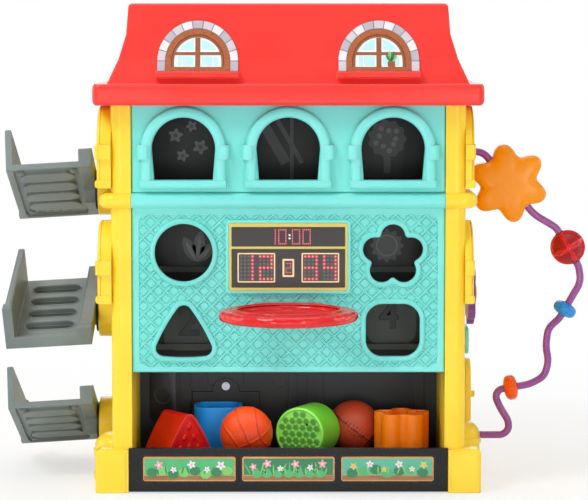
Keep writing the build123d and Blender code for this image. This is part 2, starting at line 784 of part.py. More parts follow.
case_screws = Compound(children=[
    rod_y(screw_head, back_y - screw_head_depth, back_y - fit_gap, x, z)
    + rod_y(thread_radius, back_y - boss_depth + 2, back_y - 1, x, z) for x, z in screw_places])
save(case_screws, "case_screws")

# Power switch: a knob on a small plate that slides between two rails.
knob_low_z = switch_z - switch_travel / 2 - switch_height / 2
knob_high_z = knob_low_z + switch_height
knob = box_between(switch_x - switch_width / 2, switch_x + switch_width / 2, switch_plate_y,
                   back_y + switch_proud, knob_low_z, knob_high_z)
knob = fillet(knob.edges().group_by(Axis.Y)[-1], 1.0)
plate_half = switch_width / 2 + switch_plate_reach
knob += box_between(switch_x - plate_half, switch_x + plate_half, switch_plate_y, switch_back_y,
                    knob_low_z - switch_plate_rise, knob_high_z + switch_plate_rise)
save(knob, "power_switch")
switch_body_half = switch_width / 2 + switch_rail_gap + switch_rail_width
switch_body = box_between(switch_x - switch_body_half, switch_x + switch_body_half,
                          switch_body_y - switch_body_depth, switch_body_y,
                          switch_z - switch_rail_length / 2 + 1,
                          switch_z + switch_rail_length / 2 - 1)
save(switch_body, "switch_body")

# Base tray: a hollow floor, a tall front with a lip, and bosses for the rubber pads.
tray_back_y = back_y - rim_depth - fit_gap
tray_top = tray_floor_z
base_tray = box_between(-panel_half_width, panel_half_width, -post_half_depth, tray_back_y,
                        floor_clear, tray_top)
base_tray -= box_between(-panel_half_width + skin, panel_half_width - skin,
                         -post_half_depth + skin, tray_back_y - skin, 0, tray_top - skin)
front_plate = box_between(-tray_front_half_width, tray_front_half_width, tray_front_y,
                          -post_half_depth - fit_gap, floor_clear, bay_lip_z)
front_plate += box_between(-panel_half_width, panel_half_width, tray_front_y + 1,
                           tray_front_y + tray_lip, floor_clear, bay_lip_z)
front_plate = fillet(front_plate.edges().group_by(Axis.Z)[-1].filter_by(Axis.X), 0.8)
base_tray += front_plate
pad_places = [(sx * (panel_half_width - pad_inset), sy) for sx in (-1, 1)
              for sy in (-post_half_depth + pad_inset, tray_back_y - pad_inset)] + [(0, 0)]
for x, y in pad_places:
    base_tray += rod_z(pad_radius + 2, pad_height, tray_top - weld, x, y)
save(base_tray, "base_tray")
pads = Compound(children=[fillet(rod_z(pad_radius, 0, pad_height, x, y).edges().group_by(Axis.Z)[0],
                                 0.8) for x, y in pad_places])
save(pads, "rubber_pads")

# Three printed labels on the tray's front.
label_width = (2 * (tray_front_half_width - label_margin) - 2 * label_gap) / 3
label_pitch = label_width + label_gap
for step, name in ((-1, "left"), (0, "middle"), (1, "right")):
    label = Pos(step * label_pitch, label_z) * RectangleRounded(label_width, label_height, 2.0)
    save(slab_to_back(label, tray_front_y - label_thickness, label_thickness),
         "planter_label_" + name)

# Inner housing: the bay's back wall, with the battery pocket and the speaker behind it.
housing_y = bay_back_y + fit_gap
housing_back = housing_y + skin
door_z = door_bottom_z + door_height / 2
pocket_half = door_width / 2 - 3.0
cell_pitch = 2 * cell_radius + cell_gap
stack_half = cell_count * cell_pitch / 2
housing = box_between(-panel_half_width - skin, panel_half_width + skin, housing_y, housing_back,
                      tray_floor_z + fit_gap, cheek_z - fit_gap)
pocket = box_between(battery_x - pocket_half - 2, battery_x + pocket_half + 2, housing_y,
                     housing_back + pocket_depth, door_z - stack_half - 2, door_z + stack_half + 2)
housing += fillet(pocket.edges().group_by(Axis.Y)[-1], 2.0)
housing -= box_between(battery_x - pocket_half, battery_x + pocket_half, housing_y - 1,
                       housing_back + pocket_depth - 2, door_z - stack_half, door_z + stack_half)
housing += rod_y(4.0, housing_y, housing_back + 8, battery_x, door_screw_z)
housing -= rod_y(thread_radius, housing_y - 1, housing_back + 9, battery_x, door_screw_z)
grille_ring = Circle(grille_radius + 1.6) - Circle(grille_radius + 0.4)
housing += slab_to_back(Pos(speaker_x, speaker_z) * grille_ring, housing_y - 1.0, 1.5)
grille_holes = [Pos(speaker_x, speaker_z) * Circle(grille_hole)]
for turn in range(6):
    angle = math.radians(60 * turn)
    grille_holes.append(Pos(speaker_x + grille_pitch * math.cos(angle),
                            speaker_z + grille_pitch * math.sin(angle)) * Circle(grille_hole))
for hole in grille_holes:
    housing -= slab_to_back(hole, housing_y - 2, skin + 3)
save(housing, "inner_housing")

door_face_y = housing_y - fit_gap - door_thickness
battery_door = box_between(battery_x - door_width / 2, battery_x + door_width / 2, door_face_y,
                           door_face_y + door_thickness, door_bottom_z, door_bottom_z + door_height)
tab = Pos(battery_x, door_bottom_z + door_height - 2) * straight_arch(
    door_tab_width / 2, door_tab_height + 2 - door_tab_width / 2)
battery_door += slab_to_back(tab, door_face_y, door_thickness)
battery_door = fillet(battery_door.edges().group_by(Axis.Y)[0], 0.7)
battery_door -= rod_y(thread_radius + 0.2, door_face_y - 1, housing_y, battery_x, door_screw_z)
battery_door -= rod_y(door_screw_radius + fit_gap, door_face_y - 1, door_face_y + door_screw_sink,
                      battery_x, door_screw_z)
save(battery_door, "battery_door")
door_screw = rod_y(door_screw_radius, door_face_y - 0.4, door_face_y + door_screw_sink, battery_x,
                   door_screw_z)
door_screw += rod_y(thread_radius, door_face_y + 1, housing_back + 6, battery_x, door_screw_z)
slot_reach = door_screw_radius - 1.2
slot_half = door_screw_slot / 2
door_screw -= box_between(battery_x - slot_reach, battery_x + slot_reach, door_face_y - 1,
                          door_face_y + 0.4, door_screw_z - slot_half, door_screw_z + slot_half)
door_screw -= box_between(battery_x - slot_half, battery_x + slot_half, door_face_y - 1,
                          door_face_y + 0.4, door_screw_z - slot_reach, door_screw_z + slot_reach)
save(door_screw, "battery_door_screw")

# Three cells lie one above the other, with a leaf contact at each end.
cell_y = housing_back + cell_radius + 0.6
cells = []
contacts = []
for level in range(cell_count):
    z = door_z + (level - (cell_count - 1) / 2) * cell_pitch
    nub = 1 if level % 2 else -1
    cell = rod_x(cell_radius, battery_x - cell_length / 2, battery_x + cell_length / 2, cell_y, z)
    tip = battery_x + nub * cell_length / 2
    cell += rod_x(cell_radius * 0.4, min(tip, tip + nub * 1.2), max(tip, tip + nub * 1.2), cell_y, z)
    cells.append(cell)
    for side in (-1, 1):
        inner = battery_x + side * (cell_length / 2 + (1.2 if side == nub else 0))
        outer = battery_x + side * pocket_half
        contacts.append(box_between(min(inner, outer), max(inner, outer), cell_y - 4, cell_y + 4,
                                    z - 4, z + 4))
save(Compound(children=cells), "battery_cells")
save(Compound(children=contacts), "battery_contacts")

speaker = rod_y(speaker_radius, housing_back + fit_gap, housing_back + 4, speaker_x, speaker_z)
speaker = fillet(speaker.edges().group_by(Axis.Y)[-1], 1.2)
speaker += rod_y(speaker_radius * 0.55, housing_back + 3.5, housing_back + 8, speaker_x, speaker_z)
save(speaker, "speaker")

# Chute panel behind the shape holes, which turns back over the bay as its ceiling.
chute_foot = cheek_z
chute = closed_profile([(chute_y, chute_foot), (housing_back, chute_foot),
                        (housing_back, chute_foot + skin), (chute_y + skin, chute_foot + skin),
                        (chute_y + skin, ledge_z), (chute_y, ledge_z)])
chute_panel = slab_to_right(chute, -panel_half_width, 2 * panel_half_width)
save(chute_panel, "chute_panel")
deck = closed_profile([(-body_half_width + skin + fit_gap, deck_left_z - skin),
                       (body_half_width - skin - fit_gap, deck_right_z - skin),
                       (body_half_width - skin - fit_gap, deck_right_z),
                       (-body_half_width + skin + fit_gap, deck_left_z)])
deck_front_y = front_y + rim_depth + fit_gap
save(slab_to_back(deck, deck_front_y, chute_y - fit_gap - deck_front_y), "ball_deck")
backing_half = body_half_width - skin - fit_gap
save(box_between(-backing_half, backing_half, chute_y, chute_y + skin, ledge_z + fit_gap,
                 wall_top_z), "window_backing")

# Bead wire: straight runs joined by arcs, with a straight run through each bead.
def along(at, angle, distance):
    """A point of the X and Z plane at a distance from another, in a direction."""
    return (at[0] + distance * math.cos(math.radians(angle)),
            at[1] + distance * math.sin(math.radians(angle)))


wire_corners = (
    (along(star_at, star_angle, -star_wire_reach), 14.0),
    (along(star_at, star_angle, star_wire_reach), 36.0),
    (along(red_bead_at, red_bead_angle, -20.0), 17.0),
    (along(red_bead_at, red_bead_angle, 20.0), 19.0),
    (along(blue_bead_at, blue_bead_angle, -28.0), 18.0),
    (along(blue_bead_at, blue_bead_angle, 9.5), 17.0),
    ((80.5, 129.5), 15.0),
    ((78.5, 113.0), 34.0),
    ((81.2, 100.0), 24.0),
    ((77.5, 86.5), 14.0),
    (along(orange_bead_at, orange_bead_angle, -17.8), 32.0),
    (along(orange_bead_at, orange_bead_angle, 10.4), 6.6),
    ((33.8, 68.5), 6.8),
    ((37.5, 59.5), 50.0),
    ((45.5, 46.5), 13.0),
    ((46.0, 38.5), 6.8),
    ((40.5, wire_bottom_z), 9.0))
wire_start = (socket_floor + wire_play, wire_top_z)
wire_end = (socket_floor + wire_play, wire_bottom_z)
route = [wire_start] + [point for point, radius in wire_corners] + [wire_end]
path = FilletPolyline(*[(body_half_width + x, wire_y, z) for x, z in route],
                      radius=[radius for point, radius in wire_corners])
section = Plane(origin=path @ 0, z_dir=path % 0) * Circle(wire_radius)
bead_wire = sweep(section, path=path)
save(bead_wire, "bead_wire")


def bead_place(at, angle):
    """Turns a bead's own Z axis along the wire and moves it to its place."""
    return Pos(body_half_width + at[0], wire_y, at[1]) * Rot(0, 90 - angle, 0)


bead_bore = wire_radius + bead_play
bore = Cylinder(bead_bore, 4 * star_tip)

# Star: six rounded tips, the wire runs between two of them.
star_points = []
for turn in range(12):
    angle = math.radians(30 * turn)
    reach = star_notch if turn % 2 == 0 else star_tip
    star_points.append((reach * math.cos(angle), reach * math.sin(angle)))
star_face = closed_profile(star_points)
tips = [v for v in star_face.vertices() if Vector(v.X, v.Y).length > (star_tip + star_notch) / 2]
star_face = fillet(tips, star_tip_round)
notches = [v for v in star_face.vertices() if Vector(v.X, v.Y).length < star_notch + 0.1]
star_face = fillet(notches, star_notch_round)
star = slab_to_back(star_face, -star_half_depth, 2 * star_half_depth)
star = fillet(star.faces().sort_by(Axis.Y)[0].edges() + star.faces().sort_by(Axis.Y)[-1].edges(),
              star_edge)
star = Rot(0, 90, 0) * star - bore
save(bead_place(star_at, star_angle) * star, "star_bead")

# Beads: a grooved round one and two flattened ones.
red_bead = Sphere(red_bead_radius) & Cylinder(2 * red_bead_radius, 2 * red_bead_flat)
grooves = Sphere(red_bead_radius + 1) - Sphere(red_bead_radius - red_bead_groove)
strips = Box(2.4, 50, 50) + Box(50, 2.4, 50) + Box(50, 50, 2.4)
red_bead = red_bead - (grooves & strips) - bore
save(bead_place(red_bead_at, red_bead_angle) * red_bead, "red_bead")


def flat_bead(radius, length):
    """A flattened bead with a full round edge."""
    body = Cylinder(radius, length)
    return fillet(body.edges(), length * 0.46) - bore


save(bead_place(blue_bead_at, blue_bead_angle) * flat_bead(blue_bead_radius, blue_bead_length),
     "blue_bead")
save(bead_place(orange_bead_at, orange_bead_angle)
     * flat_bead(orange_bead_radius, orange_bead_length), "orange_bead")

# Spinner on its pin, plate, and the garden door on its hinge pin.
spinner_face = Circle(spinner_radius * 0.82)
petal_radius = spinner_radius * 0.28
for turn in range(spinner_petals):
    angle = 2 * math.pi * turn / spinner_petals
    reach = spinner_radius - petal_radius
    spinner_face += Pos(reach * math.cos(angle), reach * math.sin(angle)) * Circle(petal_radius)
spinner = extrude(spinner_face, amount=spinner_thickness)
spinner = fillet(spinner.edges().group_by(Axis.Z)[-1], 1.5)
spinner -= Cylinder(spinner_pin_radius + pin_play, 4 * spinner_thickness)
save(Pos(spinner_x, spinner_y, spinner_z) * Rot(0, 90, 0) * spinner, "spinner")
pin_end = spinner_x + spinner_thickness + air_gap
spinner_pin = rod_x(spinner_pin_radius, body_half_width - skin, pin_end, spinner_y, spinner_z)
spinner_pin += fillet(rod_x(2 * spinner_pin_radius, pin_end, pin_end + 1.8, spinner_y,
                            spinner_z).edges().group_by(Axis.X)[-1], 1.0)
save(spinner_pin, "spinner_pin")
side_plate = slab_to_right(Pos(plate_y, plate_z) * RectangleRounded(plate_width, plate_height, 8.0),
                           side_pad_x, plate_thickness)
save(fillet(side_plate.edges().group_by(Axis.X)[-1], 1.0), "side_plate")

door_x = side_pad_x + air_gap
garden_door = slab_to_right(Pos(garden_door_y, garden_door_z)
                            * straight_arch(garden_door_half_width - 1.0,
                                            garden_door_height - garden_door_half_width),
                            door_x, garden_door_thickness)
garden_door = fillet(garden_door.edges().group_by(Axis.X)[-1], 1.5)
knuckle_low = garden_door_z + air_gap
knuckle_high = garden_door_z + garden_door_height * 0.5 - air_gap
garden_door += rod_z(hinge_radius, knuckle_low, knuckle_high, hinge_x, hinge_y)
garden_door += box_between(door_x + 0.6, hinge_x + 1.2, hinge_y - hinge_radius - 2, hinge_y,
                           knuckle_low, knuckle_high)
garden_door -= rod_z(hinge_pin_radius + pin_play, knuckle_low - 1, knuckle_high + 1, hinge_x,
                     hinge_y)
door_knob = rod_x(3.0, door_x + garden_door_thickness - 0.5, door_x + garden_door_thickness + 3.5,
                  garden_door_y - garden_door_half_width + 7, garden_door_z + 24)
garden_door += fillet(door_knob.edges().group_by(Axis.X)[-1], 1.2)
save(garden_door, "garden_door")
save(rod_z(hinge_pin_radius, hinge_bottom, hinge_top, hinge_x, hinge_y), "door_pin")

# See-saw ramps, drawn level with the low end at the front, then tilted about their pivots.
disc_x = boss_x + air_gap
disc_outer_x = disc_x + hub_disc_thickness
ramp_inner_x = disc_outer_x + air_gap
ramp_outer_x = ramp_inner_x + ramp_width
floor_top = ramp_floor_rise
floor_under = floor_top - ramp_floor
skirt_z = floor_top - ramp_skirt
half_length = ramp_length / 2
low_end = -half_length - ramp_collar
channel_x = (ramp_outer_x - ramp_outer_wall + ramp_inner_x + ramp_inner_wall) / 2
root_x = ramp_inner_x - ramp_root


def stadium(length, width):
    """A slot with round ends along local X."""
    return RectangleRounded(length, width, width * 0.499)


def rounded_top(block, radius):
    """A block with its upper edges rounded."""
    return fillet(block.edges().group_by(Axis.Z)[-1], radius)


def ramp_solid():
    """One ramp, to the right of the house and level, its low end at the front."""
    top_outer = floor_top + ramp_outer_height
    top_inner = floor_top + ramp_inner_height
    outer_x = ramp_outer_x - ramp_outer_wall
    ramp = box_between(root_x, ramp_outer_x, -half_length, half_length, skirt_z, floor_top)
    ramp -= box_between(ramp_inner_x + ramp_floor, ramp_outer_x - ramp_floor,
                        -half_length + ramp_floor, half_length - ramp_floor, skirt_z - 1,
                        floor_under)
    ramp += rounded_top(box_between(outer_x, ramp_outer_x, -half_length, half_length, skirt_z,
                                    top_outer), ramp_edge)
    ramp += rounded_top(box_between(root_x, ramp_inner_x + ramp_inner_wall, -half_length,
                                    half_length, skirt_z, top_inner), ramp_edge)
    ramp += box_between(root_x, ramp_outer_x, low_end, -half_length + ramp_floor, skirt_z,
                        floor_top + ramp_lip)
    ramp += rounded_top(box_between(outer_x - ramp_collar, ramp_outer_x + ramp_collar, low_end,
                                    -half_length + ramp_collar_length, skirt_z,
                                    top_outer + ramp_collar), ramp_edge)
    ramp += rounded_top(box_between(root_x, ramp_inner_x + ramp_inner_wall + ramp_collar,
                                    low_end, -half_length + ramp_collar_length, skirt_z,
                                    top_inner + ramp_collar), ramp_edge)
    ramp += rod_x(ramp_boss_radius, root_x, ramp_inner_x + ramp_inner_wall, 0, 0)
    for turn in range(slot_count):
        y = -half_length + slot_start + turn * slot_pitch
        pan = Pos(channel_x, y) * stadium(slot_length + 2 * slot_wall, slot_width + 2 * slot_wall)
        slot = Pos(channel_x, y) * stadium(slot_length, slot_width)
        ramp += Pos(0, 0, floor_top - slot_depth - slot_wall) * extrude(pan, amount=slot_depth)
        ramp -= Pos(0, 0, floor_top - slot_depth) * extrude(slot, amount=slot_depth + 1)
    for turn in range(grate_count):
        x = channel_x + (turn - (grate_count - 1) / 2) * grate_pitch
        ramp -= box_between(x - grate_size / 2, x + grate_size / 2, -half_length + grate_start,
                            -half_length + grate_start + grate_size, skirt_z - 1, floor_top + 1)
    for x, y in ((ramp_outer_x - ramp_screw_side, -half_length + ramp_screw_low),
                 (ramp_outer_x - ramp_screw_side, half_length - ramp_screw_high),
                 (ramp_inner_x + ramp_inner_wall + ramp_screw_inner, half_length - ramp_screw_high)):
        ramp += rod_z(ramp_screw_boss, skirt_z - 1.0, floor_top - 0.5, x, y)
        ramp -= rod_z(ramp_screw_hole, skirt_z - 2.0, floor_top - 2.0, x, y)
    return ramp


level_ramp = ramp_solid()
for name, pivot_z, tilt in zip(ramp_names, ramp_pivots, ramp_tilts):
    low_front = name == "middle"
    ramp = level_ramp if low_front else mirror(level_ramp, about=Plane.XZ)
    ramp = Pos(ramp_inner_x, 0, 0) * Rot(0, ramp_roll, 0) * Pos(-ramp_inner_x, 0, 0) * ramp
    ramp = Pos(0, 0, pivot_z) * Rot(tilt if low_front else -tilt, 0, 0) * ramp
    ramp -= box_between(0, disc_outer_x, -ramp_length, ramp_length, -ramp_length, 2 * eave_z)
    pin_tip = disc_outer_x + hub_key
    ramp -= rod_x(hub_pin_radius, 0, pin_tip, 0, pivot_z)
    save(mirror(ramp, about=Plane.YZ), "ramp_" + name)
    hub = rod_x(hub_disc_radius, disc_x, disc_outer_x, 0, pivot_z)
    hub += rod_x(hub_pin_radius, body_half_width - skin + fit_gap, pin_tip, 0, pivot_z)
    hub -= rod_x(hub_thread_radius, 0, body_half_width + 8, 0, pivot_z)
    save(mirror(hub, about=Plane.YZ), "ramp_hub_" + name)
    head_x = body_half_width - skin - air_gap
    screw = rod_x(hub_screw_radius, head_x - hub_screw_head, head_x, 0, pivot_z)
    screw += rod_x(hub_thread_radius, head_x - 0.5, body_half_width + 6, 0, pivot_z)
    save(mirror(screw, about=Plane.YZ), "ramp_screw_" + name)


# Toys: each block is its hole's outline made smaller, the balls pass through the hoop.
def in_bay(x, depth, rise=0.0):
    """A place on the bay's floor, at a distance before its back wall."""
    return Pos(x, bay_back_y - depth, tray_floor_z + toy_gap + rise)


triangle_play = offset(triangle_shape, -block_play)
triangle_low_z = triangle_play.bounding_box().min.Y
triangle_block = slab_to_back(triangle_play, 0, triangle_length)
triangle_block = fillet(triangle_block.faces().sort_by(Axis.Y)[0].edges(), 1.2)
triangle_inside = offset(triangle_shape, -block_play - block_wall)
triangle_block -= slab_to_back(triangle_inside, block_wall, triangle_length)
save(in_bay(-86.0, 85.0, -triangle_low_z) * Rot(0, 0, 34) * triangle_block, "triangle_block")


def cup(hole, height):
    """A block for a hole's outline, that stands open side up."""
    body = extrude(offset(hole, -block_play), amount=height)
    inside = offset(hole, -block_play - block_wall)
    return body - Pos(0, 0, block_wall) * extrude(inside, amount=height)


save(in_bay(-62.4, 27.5) * cup(square_shape, cup_height), "square_block")
save(in_bay(99.5, 58.0) * cup(flower_shape, flower_height), "flower_block")
cylinder_radius = circle_radius - block_play
round_block = rod_y(cylinder_radius, 0, cylinder_length, 0, 0)
round_block = fillet(round_block.edges().group_by(Axis.Y)[0], 1.2)
round_block -= rod_y(cylinder_radius - block_wall, block_wall, cylinder_length + 1, 0, 0)
save(in_bay(9.8, 75.0, cylinder_radius) * Rot(0, 0, -25) * round_block, "round_block")
save(in_bay(-36.6, 71.0, ball_radius) * Sphere(ball_radius), "orange_ball")
save(in_bay(58.0, 33.0, ball_radius) * Sphere(ball_radius), "brown_ball")
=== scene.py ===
import bpy
import bmesh
import math
from mathutils import Matrix, Vector
from mathutils.bvhtree import BVHTree


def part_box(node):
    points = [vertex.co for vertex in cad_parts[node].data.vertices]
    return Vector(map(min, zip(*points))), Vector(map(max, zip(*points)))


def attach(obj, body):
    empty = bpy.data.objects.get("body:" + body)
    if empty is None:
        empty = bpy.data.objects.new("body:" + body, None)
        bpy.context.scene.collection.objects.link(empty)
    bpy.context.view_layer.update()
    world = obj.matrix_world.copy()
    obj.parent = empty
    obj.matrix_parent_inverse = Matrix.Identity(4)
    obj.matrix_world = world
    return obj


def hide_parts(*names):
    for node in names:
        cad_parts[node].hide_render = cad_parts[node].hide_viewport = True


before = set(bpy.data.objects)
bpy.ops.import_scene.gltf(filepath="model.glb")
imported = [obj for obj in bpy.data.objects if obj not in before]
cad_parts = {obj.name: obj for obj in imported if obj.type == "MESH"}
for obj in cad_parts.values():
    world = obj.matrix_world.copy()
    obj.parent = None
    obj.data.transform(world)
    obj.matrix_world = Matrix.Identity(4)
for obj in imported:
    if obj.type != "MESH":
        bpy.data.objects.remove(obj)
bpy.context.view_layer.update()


# CAMERA. A long lens in front of the house, a little above its middle and looking five degrees down.
def new_object(name, data):
    """Puts an object into the scene."""
    made = bpy.data.objects.new(name, data)
    bpy.context.scene.collection.objects.link(made)
    return made


house_camera = new_object("house_camera", bpy.data.cameras.new("house_camera"))
house_camera.location = (0.0, -2.315, 0.395)
looks_at = Vector((0.0048, -0.115, 0.208))
house_camera.rotation_euler = (looks_at - house_camera.location).to_track_quat("-Z", "Y").to_euler()
house_camera.data.lens = 159
bpy.context.scene.camera = house_camera
bpy.context.scene.view_settings.view_transform = "Standard"


# STUDIO. White paper under the house and soft panel lamps on stands round it. The paper and the
# air behind it look white to the camera, and the paper keeps the house's soft shadow.
def linear(hex_colour):
    """An sRGB hex colour as the linear colour that a shader takes."""
    parts = [int(hex_colour[i:i + 2], 16) / 255 for i in (1, 3, 5)]
    return tuple(c / 12.92 if c <= 0.04045 else ((c + 0.055) / 1.055) ** 2.4 for c in parts) + (1.0,)


def set_inputs(node, inputs):
    """Gives a shader node's inputs their values, or links them to the nodes or outputs given."""
    for socket, value in inputs.items():
        if isinstance(value, bpy.types.Node):
            value = value.outputs[0]
        if isinstance(value, bpy.types.NodeSocket):
            node.id_data.links.new(value, node.inputs[socket])
        else:
            node.inputs[socket].default_value = value


def add_node(tree, kind, inputs=None, **settings):
    """Adds a shader node with its settings and its inputs."""
    node = tree.nodes.new("ShaderNode" + kind)
    for name, value in settings.items():
        setattr(node, name, value)
    set_inputs(node, inputs or {})
    return node


def bare_tree(owner, glossy_share):
    """An empty node tree, and a node that says how far its owner is seen as plain white."""
    owner.use_nodes = True
    tree = owner.node_tree
    tree.nodes.clear()
    rays = add_node(tree, "LightPath").outputs
    return tree, add_node(tree, "Math", {0: rays["Is Glossy Ray"], 1: glossy_share,
                                         2: rays["Is Camera Ray"]}, operation="MULTIPLY_ADD")


studio_air = bpy.data.worlds.new("studio_air")
bpy.context.scene.world = studio_air
tree, seen = bare_tree(studio_air, 0.3)
level = add_node(tree, "MapRange", {"Value": seen, "To Min": 0.32, "To Max": 1.0})
sky = add_node(tree, "Background", {"Color": (1, 1, 1, 1), "Strength": level})
add_node(tree, "OutputWorld", {"Surface": sky})

paper = bmesh.new()
bmesh.ops.create_grid(paper, x_segments=2, y_segments=2, size=6.0)
floor_mesh = bpy.data.meshes.new("studio_paper")
paper.to_mesh(floor_mesh)
studio_paper = new_object("studio_paper", floor_mesh)
matt_paper = bpy.data.materials.new("matt_white_paper")
tree, seen = bare_tree(matt_paper, 0.35)
reach = add_node(tree, "VectorMath", {0: add_node(tree, "TexCoord").outputs["Object"]}, operation="LENGTH")
fade = add_node(tree, "MapRange", {"Value": reach.outputs["Value"], "From Min": 0.3, "From Max": 0.9,
                                   "To Min": 0.62, "To Max": 1.0})
share = add_node(tree, "Math", {0: seen, 1: fade}, operation="MULTIPLY")
matt = add_node(tree, "BsdfDiffuse", {"Color": linear("#F4F4F4")})
white = add_node(tree, "Emission", {"Color": (1, 1, 1, 1), "Strength": 1.0})
mixed = add_node(tree, "MixShader", {0: share, 1: matt, 2: white})
add_node(tree, "OutputMaterial", {"Surface": mixed})
floor_mesh.materials.append(matt_paper)


def panel_lamp(name, spot, width, height, watts, aim=(0.0, 0.0, 0.2)):
    """A soft lamp that the camera does not see, turned towards the house unless told otherwise."""
    panel = bpy.data.lights.new(name, "AREA")
    panel.shape = "RECTANGLE"
    panel.size, panel.size_y = width, height
    panel.energy = watts
    lamp = new_object(name, panel)
    lamp.location = spot
    lamp.visible_camera = False
    lamp.rotation_euler = (Vector(aim) - Vector(spot)).to_track_quat("-Z", "Y").to_euler()


# Each panel's name, place, size and power.
panels = (("key_panel", (-1.3, -1.25, 2.15), 0.8, 31.0), ("fill_panel", (1.6, -2.2, 1.0), 1.4, 6.0),
          ("low_left_panel", (-0.66, -1.75, 0.2), 0.35, 3.0),
          ("low_right_panel", (0.66, -1.75, 0.2), 0.35, 3.0),
          ("bay_front_panel", (0.0, -0.95, 0.02), 0.3, 0.75),
          ("top_panel", (0.1, 0.1, 2.3), 1.7, 15.0), ("left_panel", (-2.4, 0.3, 0.9), 1.3, 12.0),
          ("right_panel", (2.4, 0.4, 0.9), 1.3, 12.0), ("back_panel", (0.0, 2.6, 1.4), 1.6, 18.0))
for name, spot, size, watts in panels:
    panel_lamp(name, spot, size, size, watts)

# A strip lamp under the ball bay's upper edge lights the toys from above.
panel_lamp("bay_strip", (0.0, -0.092, 0.1), 0.22, 0.04, 0.06, aim=(0.0, -0.06707, 0.0))


# BASE TRAY. A black ABS moulding with a hollow floor and a tall front lip, screwed up into the two
# side walls. Its gloss has an orange peel of about a millimetre, and its edges are slightly round.
def new_material(name):
    """A material, its node tree, and the place of each point of the piece that it covers."""
    material = bpy.data.materials.new(name)
    material.use_nodes = True
    tree = material.node_tree
    return material, tree, add_node(tree, "TexCoord").outputs["Object"]


def noise(tree, place, size, detail, **more):
    """Noise whose lumps are a size in mm."""
    return add_node(tree, "TexNoise", {"Vector": place, "Scale": 1000 / size, "Detail": detail, **more})


def between(tree, factor, first, second):
    """A colour between two."""
    return add_node(tree, "Mix", {"Factor": factor, "A": first, "B": second},
                    data_type="RGBA").outputs["Result"]


def moulded_plastic(name, colour, shade, roughness=0.34, peel=1.3, relief=0.04, edge=0.8, glint=0.1,
                    coat=0.0):
    """A moulded plastic with a painted highlight on its edges. Sizes are in mm: the peel of its surface and
    the round of its edges.
    """
    plastic, tree, place = new_material(name)
    flow = add_node(tree, "MapRange", {"Value": noise(tree, place, 45, 3.0), "From Min": 0.38,
                                       "From Max": 0.62})
    tint = between(tree, flow, linear(shade), linear(colour))
    rounded = add_node(tree, "Bevel", {"Radius": edge / 1000}, samples=6)
    turned = add_node(tree, "VectorMath", {0: rounded, 1: add_node(tree, "NewGeometry").outputs["Normal"]},
                      operation="DOT_PRODUCT")
    # Painted highlight: where the rounded normal turns from the flat one, the colour goes towards white, as
    # far as glint.
    painted_edge_highlight = add_node(tree, "MapRange", {"Value": turned.outputs["Value"], "From Min": 0.995,
                                       "From Max": 0.8, "To Max": glint})
    rub = add_node(tree, "MapRange", {"Value": noise(tree, place, 9, 4.0), "To Min": roughness - 0.05,
                                      "To Max": roughness + 0.07})
    bump = add_node(tree, "Bump", {"Height": noise(tree, place, peel, 1.0), "Normal": rounded,
                                   "Strength": 0.35, "Distance": relief / 1000})
    set_inputs(tree.nodes["Principled BSDF"],
               {"Base Color": between(tree, painted_edge_highlight, tint, linear("#FFFFFF")), "Roughness": rub,
                "Normal": bump, "IOR": 1.4, "Coat Weight": coat})
    return plastic


def dress(material, *nodes):
    """Gives carried-over nodes their finish."""
    for name in nodes:
        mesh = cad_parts[name].data
        mesh.materials.clear()
        mesh.materials.append(material)


black_abs = moulded_plastic("black_moulded_abs", "#181A1A", "#131515", peel=1.2, relief=0.05)
tray_abs = moulded_plastic("glossy_black_moulded_abs", "#101212", "#0C0E0E", 0.26, 1.2, 0.05, glint=0.06)
dress(tray_abs, "base_tray")
dress(black_abs, "inner_housing", "battery_door", "ball_deck", "window_backing",
      "chute_panel", "display_cover")

# RUBBER PADS. Five black rubber discs pressed over bosses under the tray, matt with a fine grain.
dress(moulded_plastic("black_pressed_rubber", "#1F1F1F", "#181818", 0.75, 0.6, 0.08, glint=0.05),
      "rubber_pads")


# PLANTER LABELS. Three printed foil labels on the tray's front: a wooden planter, seen from the
# front, with a hedge and small flowers. The print is built of thin layers, each a fraction of a mm.
def new_piece(name, shape, coats, body="house", replaces=(), smooth=30):
    """Makes a bmesh that was drawn in mm into a piece that rides on a body."""
    bmesh.ops.recalc_face_normals(shape, faces=shape.faces)
    bmesh.ops.scale(shape, vec=(0.001, 0.001, 0.001), verts=shape.verts)
    mesh = bpy.data.meshes.new(name)
    shape.to_mesh(mesh)
    shape.free()
    mesh.shade_smooth()
    mesh.set_sharp_from_angle(angle=math.radians(smooth))
    for coat in coats:
        mesh.materials.append(coat)
    piece = new_object(name, mesh)
    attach(piece, body)
    if replaces:
        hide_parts(*replaces)
    return piece


def moved(x, y, z):
    """A move in mm."""
    return Matrix.Translation((x, y, z))


def turned(degrees, axis):
    """A turn about one axis."""
    return Matrix.Rotation(math.radians(degrees), 4, axis)


facing_front = turned(90, "X")


def standing(x, z, front, turn=0.0):
    """The place of flat work that was drawn in X and Y: leaned by a turn, stood up, facing front."""
    return moved(x, front, z) @ facing_front @ turned(turn, "Z")


def round_off(shape, parts, radius, segments, affect="EDGES"):
    """Rounds edges or flat corners."""
    return bmesh.ops.bevel(shape, geom=parts, offset=radius, segments=segments, profile=0.5,
                           affect=affect, material=-1)


def draw_out(shape, faces, way):
    """Extrudes faces, moves their far side and returns its corners."""
    grown = bmesh.ops.extrude_face_region(shape, geom=faces)["geom"]
    far = [part for part in grown if isinstance(part, bmesh.types.BMVert)]
    bmesh.ops.translate(shape, verts=far, vec=way)
    return far


def thicken(shape, faces, depth, coat):
    """Gives flat faces that look to the front their depth towards the back."""
    for face in faces:
        face.material_index = coat
    for vert in draw_out(shape, faces, (0, depth, 0)):
        for side in vert.link_faces:
            side.material_index = coat


